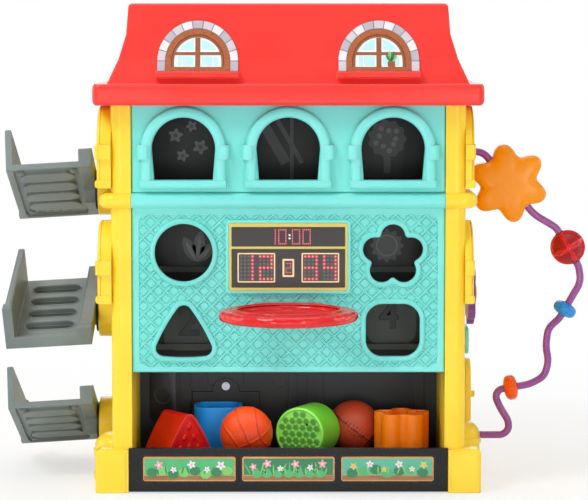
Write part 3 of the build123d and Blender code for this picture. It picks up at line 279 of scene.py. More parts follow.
def disc(shape, x, z, front, depth, radius, sides=24, coat=0, wide=1.0, turn=0.0, lobes=0, dip=0.0):
    """A thin disc, ellipse or lobed flower that faces the front."""
    made = bmesh.ops.create_circle(shape, cap_ends=True, segments=sides, radius=radius)["verts"]
    for vert in made:
        angle = math.atan2(vert.co.y, vert.co.x)
        vert.co *= 1 - dip * (0.5 - 0.5 * math.cos(lobes * angle))
        vert.co.x *= wide
    bmesh.ops.transform(shape, matrix=standing(x, z, front, turn), verts=made)
    thicken(shape, [made[0].link_faces[0]], depth, coat)


def rounded_plate(shape, place, width, height, corner, segments=4):
    """A flat rectangle whose corners are round, as one face."""
    made = bmesh.ops.create_grid(shape, x_segments=1, y_segments=1, size=0.5)["verts"]
    bmesh.ops.scale(shape, vec=(width, height, 1), verts=made)
    bmesh.ops.transform(shape, matrix=place, verts=made)
    if not corner:
        return made[0].link_faces[0]
    cut = round_off(shape, made, corner, segments, "VERTICES")
    return max((f for v in cut["verts"] for f in v.link_faces), key=lambda f: f.calc_area())


def slab(shape, x, z, front, depth, width, height, coat=0, corner=0.0, turn=0.0):
    """A thin rectangle that faces the front, its corners rounded."""
    thicken(shape, [rounded_plate(shape, standing(x, z, front, turn), width, height, corner)],
            depth, coat)


def blade(shape, x, z, front, depth, length, width, turn, coat=0):
    """A leaf or a grass blade, pointed at both ends, that starts at a point and leans by a turn."""
    made = bmesh.ops.create_circle(shape, cap_ends=True, segments=12, radius=0.5)["verts"]
    for vert in made:
        along = vert.co.y + 0.5
        vert.co.x *= width * (1 - abs(2 * along - 1) ** 2 * 0.35)
        vert.co.y = along * length
    bmesh.ops.transform(shape, matrix=standing(x, z, front, turn), verts=made)
    thicken(shape, [made[0].link_faces[0]], depth, coat)


def under_film(tree, factor, colour, shade, roughness):
    """Finishes a print: two colours, mixed by a factor, under a clear film."""
    set_inputs(tree.nodes["Principled BSDF"],
               {"Base Color": between(tree, factor, linear(colour), linear(shade)),
                "Roughness": roughness, "Coat Weight": 0.25, "Coat Roughness": 0.2})


def printed_film(name, colour, shade, grain=0.6, roughness=0.42):
    """Ink under a clear film: one colour with the fine dots of the print, which differ a little."""
    film, tree, place = new_material(name)
    dots = add_node(tree, "TexVoronoi", {"Vector": place, "Scale": 1000 / grain})
    blot = add_node(tree, "Math", {0: dots.outputs["Distance"], 1: noise(tree, place, 7, 2.0), 2: 0.1},
                    operation="MULTIPLY_ADD")
    under_film(tree, blot, colour, shade, roughness)
    return film


def printed_films(*inks):
    """A printed film for each ink, from its name, its two colours and what else it is given."""
    return [printed_film("printed_" + name, *looks) for name, *looks in inks]


def printed_wood(name, light, dark, across=2.4, along_x=0.12):
    """Printed planks: brown grain lines a few mm apart that run along X."""
    film, tree, place = new_material(name)
    drawn = add_node(tree, "Mapping", {"Vector": place, "Scale": (along_x, 1.0, 1.0)})
    grain = add_node(tree, "MapRange", {"Value": noise(tree, drawn, across, 5.0, Distortion=0.4),
                                        "From Min": 0.35, "From Max": 0.65})
    under_film(tree, grain, light, dark, 0.4)
    return film


plank_light = printed_wood("printed_plank_light", "#D9A066", "#C58A4C")
leaf_green = printed_film("printed_leaf_green", "#84D072", "#6CC060")
deep_green = printed_film("printed_deep_green", "#2E8A5A", "#237048")
label_inks = [plank_light, printed_wood("printed_plank_dark", "#A87848", "#936236"),
              *printed_films(("bank_green", "#5FBFA0", "#4CAE90"), ("hedge_green", "#54BE78", "#3FA866")),
              leaf_green, deep_green,
              *printed_films(("petal_white", "#F4ECF0", "#E2D6E4"), ("petal_pink", "#F2B0BC", "#E68FA4"),
                             ("petal_yellow", "#EBD873", "#D8BE4C"))]
frame_ink, plank_ink, bank_ink, hedge, leaf, deep, white, pink, yellow = range(len(label_inks))
label_front = -120.8
label_width = 79.0
label_height = 21.2
label_pitch = 84.6
label_z = 20.8
plank_height = 5.4
board_edge = 1.0


def planter(name, middle, bank, bushes, blades, flowers):
    """One label: planks, frame, a green bank with a hedge of bushes, grass blades and flowers."""
    art = bmesh.new()
    layer = label_front - 0.06
    foot = label_z - label_height / 2
    slab(art, middle, label_z, layer, 0.2, label_width - 0.4, label_height - 0.4, frame_ink, 1.6)
    slab(art, middle, foot + plank_height / 2 + 0.3, layer - 0.06, 0.2, label_width - 1.4,
         plank_height - 1.8, plank_ink, 0.6)
    window = label_height - plank_height - board_edge - 0.6
    bed = foot + plank_height
    slab(art, middle, bed + window / 2, layer - 0.06, 0.2, label_width - 2 * board_edge - 0.8,
         window, bank, 0.4)
    for x, rise, radius, ink in bushes:
        disc(art, middle + x, bed + rise, layer - 0.1 - 0.02 * ink, 0.2, radius, 28, ink, 1.15, 0,
             9, 0.12)
    for x, rise, length, lean, ink in blades:
        blade(art, middle + x, bed + rise, layer - 0.24, 0.15, length, 1.5, lean, ink)
    for x, rise, radius, ink in flowers:
        disc(art, middle + x, bed + rise, layer - 0.32, 0.15, radius, 30, ink, 1.0, 18 * x, 5, 0.5)
        disc(art, middle + x, bed + rise, layer - 0.38, 0.15, radius * 0.26, 10,
             white if ink == pink else pink)
    new_piece(name, art, label_inks)


# Bushes, blades and flowers are placed in mm from the label's middle and above its planks.
planter("planter_art_left", -label_pitch, hedge,
        [(-32 + 9.2 * n, 2.2 + 1.6 * math.sin(2.1 * n), 4.2, leaf if n % 2 else deep)
         for n in range(8)],
        [(-26 + 6.5 * n, 0.6, 7.0, 20 - 11 * (n % 4), deep) for n in range(9)],
        [(-26.0, 8.6, 4.0, pink), (-13.5, 4.6, 3.0, white), (2.0, 9.0, 3.8, white),
         (15.0, 4.8, 3.0, white), (27.0, 8.2, 4.2, white)])
planter("planter_art_middle", 0.0, deep, [(-27 + 9 * n, 1.0, 3.6, hedge) for n in range(7)],
        [(-32 + 2.75 * n, 0.2, 11.6 - 2.6 * (n % 3), 30 - 15 * (n % 5), leaf if n % 2 else hedge)
         for n in range(24)],
        [(-30.0, 7.0, 3.4, pink), (-18.0, 9.8, 4.0, pink), (-7.0, 5.6, 2.8, white),
         (6.0, 9.4, 3.8, pink), (18.5, 6.4, 3.0, white), (29.0, 9.6, 4.0, pink)])
planter("planter_art_right", label_pitch, bank_ink,
        [(-30 + 10 * n, 2.0 + 1.4 * (n % 3), 4.4, hedge if n % 2 else deep) for n in range(7)],
        [(-24 + 8 * n, 0.6, 7.4, 26 - 13 * (n % 5), leaf) for n in range(7)],
        [(-29.0, 7.6, 3.4, yellow), (-15.0, 9.4, 3.4, white), (-3.0, 5.0, 2.8, yellow),
         (10.0, 9.2, 3.6, white), (21.0, 5.2, 2.8, white), (31.0, 8.8, 3.6, yellow)])
dress(plank_light, "planter_label_left", "planter_label_middle", "planter_label_right")

# The tray's front has a shallow recess round each label, drawn by a thin raised bead of the tray.
tray_front = -120.2
recess_margin, recess_corner, recess_bead_width, recess_bead_rise = 2.0, 3.4, 1.0, 0.7
label_beads = bmesh.new()
for middle in (-label_pitch, 0.0, label_pitch):
    field = rounded_plate(label_beads, moved(middle, tray_front, label_z) @ facing_front,
                          label_width + 2 * recess_margin, label_height + 2 * recess_margin,
                          recess_corner, 5)
    rim = bmesh.ops.inset_region(label_beads, faces=[field], thickness=recess_bead_width,
                                 use_boundary=True)["faces"]
    bmesh.ops.delete(label_beads, geom=[field], context="FACES")
    draw_out(label_beads, rim, (0, -recess_bead_rise, 0))
new_piece("label_recess_beads", label_beads, [tray_abs])

# INNER HOUSING. The black back wall of the ball bay, with a small speaker behind a ring of holes and
# the battery door under its screw. Shallow ribs and raised fields are moulded round the door.
zinc_steel, tree, place = new_material("zinc_plated_turned_steel")
turning = noise(tree, place, 0.5, 2.0)
set_inputs(tree.nodes["Principled BSDF"],
           {"Base Color": between(tree, turning, linear("#B9BDC1"), linear("#94989D")),
            "Normal": add_node(tree, "Bump", {"Height": turning, "Strength": 0.3, "Distance": 0.00005}),
            "Metallic": 1.0, "Roughness": 0.32})
dress(zinc_steel, "battery_door_screw", "case_screws", "battery_contacts", "door_pin",
      "ramp_screw_top", "ramp_screw_middle", "ramp_screw_bottom")
dress(printed_film("green_cell_shrink_wrap", "#3E7D4A", "#356B40"), "battery_cells")
dress(moulded_plastic("grey_speaker_basket", "#55585A", "#474A4C", 0.5, 0.8, 0.06, glint=0.25),
      "speaker")

# Ribs and raised fields: each one's place, how far it stands out, its size and its corners.
bay_wall = 3.2
bay_ribs = ((-93.0, 64.0, 2.4, 9.0, 84.0, 1.2), (-112.8, 74.0, 0.9, 24.0, 64.0, 7.0),
            (4.0, 64.0, 2.4, 7.0, 84.0, 1.2), (24.0, 64.0, 2.0, 14.0, 84.0, 1.2),
            (118.0, 64.0, 2.4, 8.0, 84.0, 1.2), (-56.2, 90.0, 2.0, 32.0, 26.0, 1.6))
columns = bmesh.new()
for x, z, proud, width, height, corner in bay_ribs:
    slab(columns, x, z, bay_wall - proud, proud, width, height, corner=corner)
disc(columns, -8.0, 80.0, bay_wall - 0.8, 0.8, 6.0, 32)
round_off(columns, [e for e in columns.edges if e.calc_length() > 2.5], 0.5, 2)
new_piece("bay_wall_columns", columns, [black_abs])

# The speaker's grille: its small round holes are flat dark discs of painted shade inside the moulded ring.
deep_black_and_hole_shade = moulded_plastic("deep_black_abs_and_hole_shade", "#0B0C0C", "#080808", 0.6, 0.8, 0.03, glint=0.0)
speaker_x, speaker_z, hole_shade_radius = -112.8, 67.0, 0.62
grille = bmesh.new()
for ring, count in ((2.1, 6), (4.2, 12)):
    for step in range(count):
        angle = 2 * math.pi * (step + 0.25 * ring) / count
        disc(grille, speaker_x + ring * math.cos(angle), speaker_z + ring * math.sin(angle),
             bay_wall - 1.0, 0.5, hole_shade_radius, 10)
new_piece("speaker_grille_hole_shade", grille, [deep_black_and_hole_shade])


# SIDE WALLS. Two yellow ABS mouldings, each with its corner posts, feet, a banded barrel and
# arched frames. They are glossy, with the soft edges of a large moulding, and each front foot
# stands in a rounded boot.
def cut_away(shape, place, facing, clear=True):
    """Cuts a shape with a plane and clears what lies beyond it, unless told to keep it."""
    bmesh.ops.bisect_plane(shape, geom=shape.verts[:] + shape.edges[:] + shape.faces[:],
                           plane_co=place, plane_no=facing, clear_outer=clear)


yellow_abs = moulded_plastic("yellow_moulded_abs", "#FFDC3C", "#FDD734", 0.30, 1.4, 0.05, edge=1.2,
                             glint=0.08)
dress(yellow_abs, "left_side_wall", "right_side_wall", "back_wall", "spinner_pin")
boot_size = (28.4, 23.8, 46.0)
boot_x, boot_y, boot_z = 150.8, -110.5, 14.9
boot_sole = 0.3
boots = bmesh.new()
for side in (-1, 1):
    made = bmesh.ops.create_cube(boots, size=1.0)["verts"]
    bmesh.ops.scale(boots, vec=boot_size, verts=made)
    bmesh.ops.translate(boots, verts=made, vec=(side * boot_x, boot_y, boot_z))
round_off(boots, boots.edges[:], 5.0, 6)
cut_away(boots, (0, 0, boot_sole), (0, 0, -1))
bmesh.ops.holes_fill(boots, edges=boots.edges[:])
new_piece("front_foot_boots", boots, [yellow_abs], smooth=40)

# BALL CHUTE. The black panel behind the shape holes carries plain grey prints and raised numerals,
# each on a rounded tablet, and a thin shelf runs under them.
tablet_grey = moulded_plastic("charcoal_moulded_abs", "#4C5250", "#444A48", 0.42, 1.2, glint=0.08)
chute_inks = [printed_film("grey_pad_print", "#484C4C", "#3E4242", 0.5, 0.5),
              printed_film("pale_grey_pad_print", "#707474", "#646868", 0.5, 0.5)]
chute_face = -57.0
two_at, four_at = (-86.0, 140.0), (90.0, 145.0)
tablet_rise, tablet_corner, shelf_reach = 0.8, 11.0, 3.0
tablets = bmesh.new()
for (x, z), width, height in ((two_at, 46.0, 50.0), (four_at, 44.0, 48.0)):
    slab(tablets, x, z, chute_face - tablet_rise, tablet_rise, width, height, corner=tablet_corner)
for x, z in ((-88.0, 186.5), (90.0, 186.5), (-88.0, 118.5), (90.0, 118.5)):
    slab(tablets, x, z, chute_face - shelf_reach, shelf_reach, 58.0, 5.0, corner=1.0)
new_piece("chute_tablets", tablets, [tablet_grey])


def put(shape, matrix):
    """Moves and turns a whole shape."""
    bmesh.ops.transform(shape, matrix=matrix, verts=shape.verts)


def numeral(text, x, z, height, name):
    """A plain raised numeral that stands on a tablet and faces the front."""
    depth = 1.2
    front = chute_face - 1.9
    curve = bpy.data.curves.new(name, "FONT")
    curve.body = text
    curve.size = height
    curve.extrude = depth / 2
    curve.offset = height * 0.022
    curve.align_x = curve.align_y = "CENTER"
    drawn = bpy.data.objects.new(name, curve)
    mesh = bpy.data.meshes.new_from_object(drawn)
    bpy.data.objects.remove(drawn)
    shape = bmesh.new()
    shape.from_mesh(mesh)
    bmesh.ops.remove_doubles(shape, verts=shape.verts, dist=0.001)
    put(shape, moved(x, front + depth / 2, z) @ facing_front)
    new_piece(name, shape, [black_abs])


numeral("2", two_at[0] - 1.0, two_at[1], 38.0, "chute_numeral_two")
numeral("4", four_at[0] - 2.0, four_at[1], 34.0, "chute_numeral_four")

# A leaf behind the round hole and a sun behind the flower hole.
grey, pale = 0, 1
first_layer, second_layer, third_layer = [(chute_face - rise, 0.12) for rise in (0.12, 0.22, 0.32)]
leaf_foot, sun_at = (-80.0, 193.0), (86.0, 207.0)
chute_prints = bmesh.new()
for lean, length in ((28, 24), (-8, 27), (-44, 22)):
    blade(chute_prints, *leaf_foot, *first_layer, length, 11, lean, grey)
    blade(chute_prints, *leaf_foot, *second_layer, length * 0.82, 4, lean, pale)
disc(chute_prints, *sun_at, *first_layer, 15.0, 60, grey, lobes=12, dip=0.22)
disc(chute_prints, *sun_at, *second_layer, 9.6, 40, pale)
disc(chute_prints, *sun_at, *third_layer, 8.2, 40, grey)
new_piece("chute_prints", chute_prints, chute_inks)

# WINDOW BACKING. Dark board behind the three ball windows: blossoms on the left, a mirror with
# slanting light in the middle and a round tree on the right, all printed in greys.
blossoms = ((-98.0, 303.0, 6.4, 10), (-84.0, 311.0, 5.0, 40), (-92.0, 285.5, 5.6, 0),
            (-76.5, 293.0, 6.8, 62))
tree_x, tree_z, fruit_radius = 86.0, 300.0, 2.3
backing_prints = bmesh.new()
for x, z, radius, turn in blossoms:
    disc(backing_prints, x, z, chute_face - 0.14, 0.14, radius, 40, pale, 1.0, turn, 5, 0.42)
    disc(backing_prints, x, z, chute_face - 0.24, 0.14, radius * 0.3, 16, grey)
slab(backing_prints, 3.0, 296.0, chute_face - 0.14, 0.14, 3.2, 62.0, grey, 0.6)
for x, wide in ((-13.0, 9.0), (1.0, 4.0)):
    slab(backing_prints, x, 298.0, *first_layer, wide, 44.0, grey, 0.4, 30.0)
disc(backing_prints, tree_x, tree_z, *first_layer, 17.0, 90, grey, lobes=11, dip=0.12)
for step in range(9):
    angle = math.radians(40 * step)
    reach = 10.4 if step % 2 else 7.2
    disc(backing_prints, tree_x + reach * math.cos(angle), tree_z + reach * math.sin(angle),
         *second_layer, fruit_radius, 16, pale)
slab(backing_prints, tree_x, tree_z - 21.0, chute_face - 0.1, 0.1, 6.0, 18.0, grey, 1.0)
new_piece("backing_prints", backing_prints, chute_inks)

# LOWER FRONT PANEL. Teal ABS with four shape holes. Its inset field is moulded as a quilt: raised
# ridges cross at 45 degrees, and each diamond between them holds a flat pad behind a groove.
teal_abs = moulded_plastic("teal_moulded_abs", "#82E7DF", "#7CE2DA", 0.30, 1.3, 0.05, edge=1.0,
                           glint=0.30)
fine_teal_abs = moulded_plastic("teal_moulded_abs_fine", "#79DED6", "#72D9D0", 0.26, 1.3, 0.03,
                                edge=0.2, glint=0.35)
dress(teal_abs, "lower_front_panel", "upper_front_panel", "side_plate")
quilt_pitch = 9.2
quilt_steps = (0.55, 1.0, 1.45, 1.9)        # ridge's edge, groove's edges and pad's edge
quilt_rise = (1.5, 0.0, 0.0, 0.85)         # what stands above the field there
pad_step = (quilt_pitch - 2 * quilt_steps[-1]) / 4
lines = [-step for step in reversed(quilt_steps)] + list(quilt_steps)
lines += [quilt_steps[-1] + pad_step * n for n in (1, 2, 3)]
field_face = -114.0
face_slack = 0.6
quilt_sink, quilt_rim = 0.05, 0.4          # how deep the quilt's foot and its rim sit in the panel
field_half = 127.0
field_low = 108.0
field_high = 238.0
middle_z = (field_low + field_high) / 2


def surface(node):
    """The faces of a carried-over node, in mm, for lines to be cast at."""
    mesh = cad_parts[node].data
    return BVHTree.FromPolygons([v.co * 1000 for v in mesh.vertices],
                                [tuple(p.vertices) for p in mesh.polygons])


def met_from_front(faces, x, z):
    """Where a line from the front meets a surface first, or None."""
    return faces.ray_cast(Vector((x, -200.0, z)), Vector((0, 1, 0)))[0]


def quilt_height(x, z):
    """How far the quilt stands above the field at a place."""
    gap = min(abs((across + quilt_pitch / 2) % quilt_pitch - quilt_pitch / 2)
              for across in ((x + z) / math.sqrt(2), (x - z) / math.sqrt(2)))
    if gap <= quilt_steps[0]:
        return quilt_rise[0]
    for near, far, low, high in zip(quilt_steps, quilt_steps[1:], quilt_rise, quilt_rise[1:]):
        if gap <= far:
            return low + (high - low) * (gap - near) / (far - near)
    return quilt_rise[-1]


def quilt_line(place):
    """Moves an evenly spaced grid line to the nearest edge of the quilt's profile."""
    step = round(place / (quilt_pitch / len(lines)))
    return (step // len(lines)) * quilt_pitch + lines[step % len(lines)]


quilt = bmesh.new()
turns = 30
cells = len(lines) * turns
bmesh.ops.create_grid(quilt, x_segments=cells, y_segments=cells, size=turns * quilt_pitch / 2)
for vert in quilt.verts:
    u, v = quilt_line(vert.co.x), quilt_line(vert.co.y)
    vert.co = Vector(((u + v) / math.sqrt(2), 0, (u - v) / math.sqrt(2)))
for side in (-1, 1):
    cut_away(quilt, (side * field_half, 0, 0), (side, 0, 0))
    cut_away(quilt, (0, 0, side * (field_high - middle_z)), (0, 0, side))
panel = surface("lower_front_panel")
bare = set()
open_air = set()
for vert in quilt.verts:
    rise = quilt_height(vert.co.x, vert.co.z)
    vert.co.z += middle_z
    hit = met_from_front(panel, vert.co.x, vert.co.z)
    if hit is None or abs(hit.y - field_face) > face_slack:
        bare.add(vert)
        if hit is None or hit.y > field_face + face_slack:
            open_air.add(vert)
    vert.co.y = field_face + quilt_sink - rise
bmesh.ops.delete(quilt, geom=[f for f in quilt.faces if all(v in bare for v in f.verts)
                              or any(v in open_air for v in f.verts)], context="FACES")
rim = [e for e in quilt.edges if len(e.link_faces) == 1]
for part in bmesh.ops.extrude_edge_only(quilt, edges=rim)["geom"]:
    if isinstance(part, bmesh.types.BMVert):
        part.co.y = field_face + quilt_rim
new_piece("quilted_field", quilt, [fine_teal_abs], smooth=20)

# The ball windows' frames are moulded half round, with a cuff on each side and a rounded sill, on
# the teal panel and on the yellow walls alike.
frame_radius, frame_foot, frame_spring = 31.45, 6.8, 33.25
cuff_radius, cuff_low, cuff_high = 33.95, 24.7, 36.6
sill_reach, sill_middle = 36.2, 3.65
frame_bead = (4.45, 2.3)                   # half width and rise
cuff_bead, sill_bead = (5.0, 2.9, -1.0), (3.5, 1.8, -2.0)      # and the plane each one stands on


def skin(shape, rows, closed, around=True):
    """Faces from each row of points to the next one, and round each row."""
    for this, following in zip(rows, rows[1:] + (rows[:1] if closed else [])):
        for n in range(len(this) if around else len(this) - 1):
            after = (n + 1) % len(this)
            shape.faces.new((this[n], this[after], following[after], following[n]))


def half_round(shape, run, half_width, rise, base=0.0, closed=False):
    """A half round bead on the plane Y = base, along places with the direction across each."""
    turns = [math.pi * n / 8 for n in range(9)]
    section = [(-half_width * math.cos(turn), base - rise * math.sin(turn)) for turn in turns]
    section += [(half_width, base + 0.5), (-half_width, base + 0.5)]
    rows = [[shape.verts.new((x + across[0] * u, y, z + across[1] * u)) for u, y in section]
            for x, z, across in run]
    skin(shape, rows, closed)
    if not closed:
        shape.faces.new(rows[0])
        shape.faces.new(rows[-1][::-1])
    return [vert for row in rows for vert in row]


def frame_run(radius, low_z, high_z=None):
    """Places round an arched frame from its left foot over the crown, or up the left side only."""
    bend = math.pi if high_z is None else math.asin((high_z - frame_spring) / radius)
    run = [(-radius, low_z, (1.0, 0.0))]
    steps = 36 if high_z is None else 4
    for n in range(steps + 1):
        angle = math.pi - bend * n / steps
        out = (math.cos(angle), math.sin(angle))
        run.append((radius * out[0], frame_spring + radius * out[1], (-out[0], -out[1])))
    if high_z is None:
        run.append((radius, low_z, (-1.0, 0.0)))
    return run


def window_beads(shape, matrix):
    """The rounded frame, cuffs and sill of one window, on a trim whose face is the plane Y = 0."""
    made = half_round(shape, frame_run(frame_radius, frame_foot), *frame_bead)
    for side in (-1, 1):
        cuff = [(-side * x, z, (-side * across, up))
                for x, z, (across, up) in frame_run(cuff_radius, cuff_low, cuff_high)]
        made += half_round(shape, cuff, *cuff_bead)
    sill = [(x, sill_middle, (0.0, 1.0)) for x in (-sill_reach, sill_reach)]
    made += half_round(shape, sill, *sill_bead)
    bmesh.ops.transform(shape, matrix=matrix, verts=made)


window_foot = 260.5
window_pitch = 88.8
trim_face = -120.0
storey = 98.6
teal_beads = bmesh.new()
for step in (-1, 0, 1):
    window_beads(teal_beads, moved(window_pitch * step, trim_face, window_foot))
new_piece("teal_window_beads", teal_beads, [teal_abs], smooth=40)
for side, name, wall_x, fullness in ((-1, "left", -160.5, 1.0), (1, "right", 157.0, 0.5)):
    yellow_beads = bmesh.new()
    for foot in (window_foot, window_foot - storey):
        window_beads(yellow_beads, moved(wall_x, -80.0, foot) @ turned(90 * side, "Z")
                     @ Matrix.Diagonal((1, fullness, 1, 1)))
    new_piece(name + "_wall_window_beads", yellow_beads, [yellow_abs], smooth=40)


# The bezels round the shape holes are moulded half round as well, along each hole's own outline.
def welded_copy(node):
    """A carried-over node's own mesh, in mm and welded."""
    shape = bmesh.new()
    shape.from_mesh(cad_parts[node].data)
    bmesh.ops.scale(shape, vec=(1000, 1000, 1000), verts=shape.verts)
    bmesh.ops.remove_doubles(shape, verts=shape.verts, dist=0.001)
    shape.normal_update()
    return shape


bezel_half_width, bezel_rise = 2.15, 1.0
nearest_hole, shortest_outline = 40, 60
flat_tops = welded_copy("lower_front_panel")
others = []
for face in flat_tops.faces:
    inside = all(nearest_hole < abs(vert.co.x) < field_half - 0.5 and vert.co.y < field_face - 0.5
                 and field_low + 0.5 < vert.co.z < field_high - 0.5 for vert in face.verts)
    if face.normal.y > -0.99 or not inside:
        others.append(face)
bmesh.ops.delete(flat_tops, geom=others, context="FACES")
left = {edge: None for edge in flat_tops.edges if len(edge.link_faces) == 1}
outlines = {}
while left:
    first, at = left.popitem()[0].verts
    outline = [first.co.copy()]
    while at is not first:
        outline.append(at.co.copy())
        onward = [e for e in at.link_edges if e in left]
        if not onward:
            break
        left.pop(onward[0])
        at = onward[0].other_vert(at)
    reach = sum((a - b).length for a, b in zip(outline, outline[1:] + outline[:1]))
    corner = (outline[0].x > 0, outline[0].z > middle_z)
    if reach > shortest_outline and (corner not in outlines or reach < outlines[corner][0]):
        outlines[corner] = (reach, outline)
flat_tops.free()
bezel_beads = bmesh.new()
for reach, outline in outlines.values():
    ring = list(zip(outline[-1:] + outline[:-1], outline, outline[1:] + outline[:1]))
    turn = math.copysign(bezel_half_width, sum(a.x * b.z - b.x * a.z for a, b, c in ring))
    run = []
    for before, here, after in ring:
        out = Vector((after.z - before.z, 0, before.x - after.x)).normalized()
        run.append((here.x + out.x * turn, here.z + out.z * turn, (out.x, out.z)))
    half_round(bezel_beads, run, bezel_half_width, bezel_rise, outline[0].y, closed=True)
new_piece("hole_bezel_beads", bezel_beads, [fine_teal_abs], smooth=40)

# SCOREBOARD. A printed styrene plate in the teal surround: a yellow frame, a dark clock strip above
# and a dark field with two score boxes below, their round lamps printed as raised dots of ink.
board_inks = printed_films(
    ("dark_brown", "#30240C", "#281E08", 0.5, 0.3), ("umber", "#1E1613", "#191210", 0.5, 0.45),
    ("cream", "#FFE0A8", "#F6D294", 0.5, 0.3), ("black_brown", "#2A1210", "#240E0C", 0.5, 0.3),
    ("lamp_red", "#C8182C", "#B81426", 0.5, 0.25), ("lamp_pink", "#F08090", "#E87484", 0.5, 0.25),
    ("lamp_off", "#4A4A48", "#424240", 0.5, 0.3), ("white", "#F4F2EC", "#E8E6E0", 0.5, 0.3))
outline_ink, field_ink, box_line, box_field, lit_red, lit_heart, unlit, colon_ink = range(8)
dress(printed_film("printed_board_yellow", "#DCC85A", "#D0BA48", 0.5, 0.3), "scoreboard_plate")
board_z = 202.2
board_front = -117.4
strip_z = board_z + 17.3
score_z = board_z - 9.1
period_z = board_z - 9.3
score_x = 27.2
digit_strokes = {"0": "abcdef", "1": "bc", "2": "abged", "3": "abgcd", "4": "fgbc"}


def lit_dots(digit, columns, rows):
    """The dots of a grid, as column and row, that show a digit in seven straight strokes."""
    right = columns - 1
    half = rows // 2
    lines = {"a": [(c, 0) for c in range(columns)], "g": [(c, half) for c in range(columns)],
             "d": [(c, rows - 1) for c in range(columns)],
             "f": [(0, r) for r in range(half + 1)], "b": [(right, r) for r in range(half + 1)],
             "e": [(0, r) for r in range(half, rows)], "c": [(right, r) for r in range(half, rows)]}
    return {dot for stroke in digit_strokes[digit] for dot in lines[stroke]}


def dot_digit(shape, digit, x, z, pitch, columns, rows, radius, off_radius=0.0):
    """A digit of round dots round its middle: red ones with a pink heart, and unlit grey ones."""
    lit = lit_dots(digit, columns, rows)
    for column in range(columns):
        for row in range(rows):
            at = (x + (column - (columns - 1) / 2) * pitch, z - (row - (rows - 1) / 2) * pitch)
            if (column, row) in lit:
                disc(shape, *at, board_front - 0.30, 0.2, radius, 16, lit_red)
                disc(shape, *at, board_front - 0.36, 0.2, radius * 0.55, 12, lit_heart)
            elif off_radius:
                disc(shape, *at, board_front - 0.26, 0.1, off_radius, 10, unlit)


board_print = bmesh.new()
for z, height in ((strip_z, 15.6), (board_z - 9.6, 32.0)):
    slab(board_print, 0, z, board_front - 0.06, 0.2, 96.7, height + 1.2, outline_ink, 0.8)
    slab(board_print, 0, z, board_front - 0.12, 0.2, 95.5, height, field_ink, 0.5)
for digit, x in (("1", -14.1), ("0", -5.1), ("0", 6.5), ("0", 15.5)):
    dot_digit(board_print, digit, x, strip_z, 1.5, 5, 9, 0.72)
for step in (-1.4, 1.4):
    disc(board_print, 1.0, strip_z + step, board_front - 0.3, 0.2, 0.9, 14, colon_ink)
for side, digits in ((-1, "12"), (1, "34")):
    slab(board_print, side * score_x, score_z, board_front - 0.16, 0.2, 32.0, 25.2, box_line, 1.0)
    slab(board_print, side * score_x, score_z, board_front - 0.2, 0.2, 29.8, 23.0, box_field, 0.6)
    for digit, step in zip(digits, (-1, 1)):
        dot_digit(board_print, digit, side * score_x + step * 8.1, score_z, 3.2, 4, 7, 1.5, 1.1)
slab(board_print, 0, period_z, board_front - 0.16, 0.2, 9.9, 15.4, box_line, 0.8)
slab(board_print, 0, period_z, board_front - 0.2, 0.2, 6.9, 12.4, box_field, 0.4)
dot_digit(board_print, "2", 0, period_z, 1.3, 4, 7, 0.6)
new_piece("scoreboard_print", board_print, board_inks)

# Behind the plate: the lamps' module, its lacquered circuit board and their black cover.
dress(printed_film("green_lacquered_glass_fibre", "#1F6B46", "#185A3A", 0.4, 0.35), "circuit_board")
dress(deep_black_and_hole_shade, "display_module")

# HOOP. A red ABS ring with a scalloped edge, screwed on through the lower panel. A rounded bead is
# moulded round the opening, on top and below.
hoop_abs = moulded_plastic("red_moulded_abs_hoop", "#E1191E", "#D41318", 0.24, 1.4, edge=1.2,
                           glint=0.12, coat=0.3)
dress(hoop_abs, "hoop")
hoop_low, hoop_high = [corner[2] * 1000 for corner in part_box("hoop")]
hoop_level = (hoop_low + hoop_high) / 2
hoop_height = hoop_high - hoop_low
hoop_middle_y = -173.6
hoop_opening = 41.5
hoop_rim = 57.9
hoop_waves = 28
wave_depth = 1.5
waves_start = 51.0
bracket_front, bracket_depth, bracket_width = -130.4, 15.2, 60.0


def lathe(shape, profile, matrix=None, steps=64, coat=0, closed=False):
    """Turns a profile of radius and height round Z into a closed skin."""
    made = [shape.verts.new((radius, 0, height)) for radius, height in profile]
    edges = [shape.edges.new(pair) for pair in zip(made, made[1:] + made[:1] if closed else made[1:])]
    before = set(shape.faces)
    bmesh.ops.spin(shape, geom=made + edges, cent=(0, 0, 0), axis=(0, 0, 1), angle=2 * math.pi,
                   steps=steps, use_merge=True)
    faces = [face for face in shape.faces if face not in before]
    for face in faces:
        face.material_index = coat
    verts = list({vert for face in faces for vert in face.verts})
    bmesh.ops.transform(shape, matrix=matrix or Matrix(), verts=verts)


def ring_profile(radius, height, half_width, rise):
    """A half round bead as a closed profile, its foot sunk a little."""
    arc = [math.pi * step / 8 for step in range(9)]
    foot = height - math.copysign(0.3, rise)
    crown = [(radius + half_width * math.cos(a), height + rise * math.sin(a)) for a in arc]
    return crown + [(radius - half_width, foot), (radius + half_width, foot)]


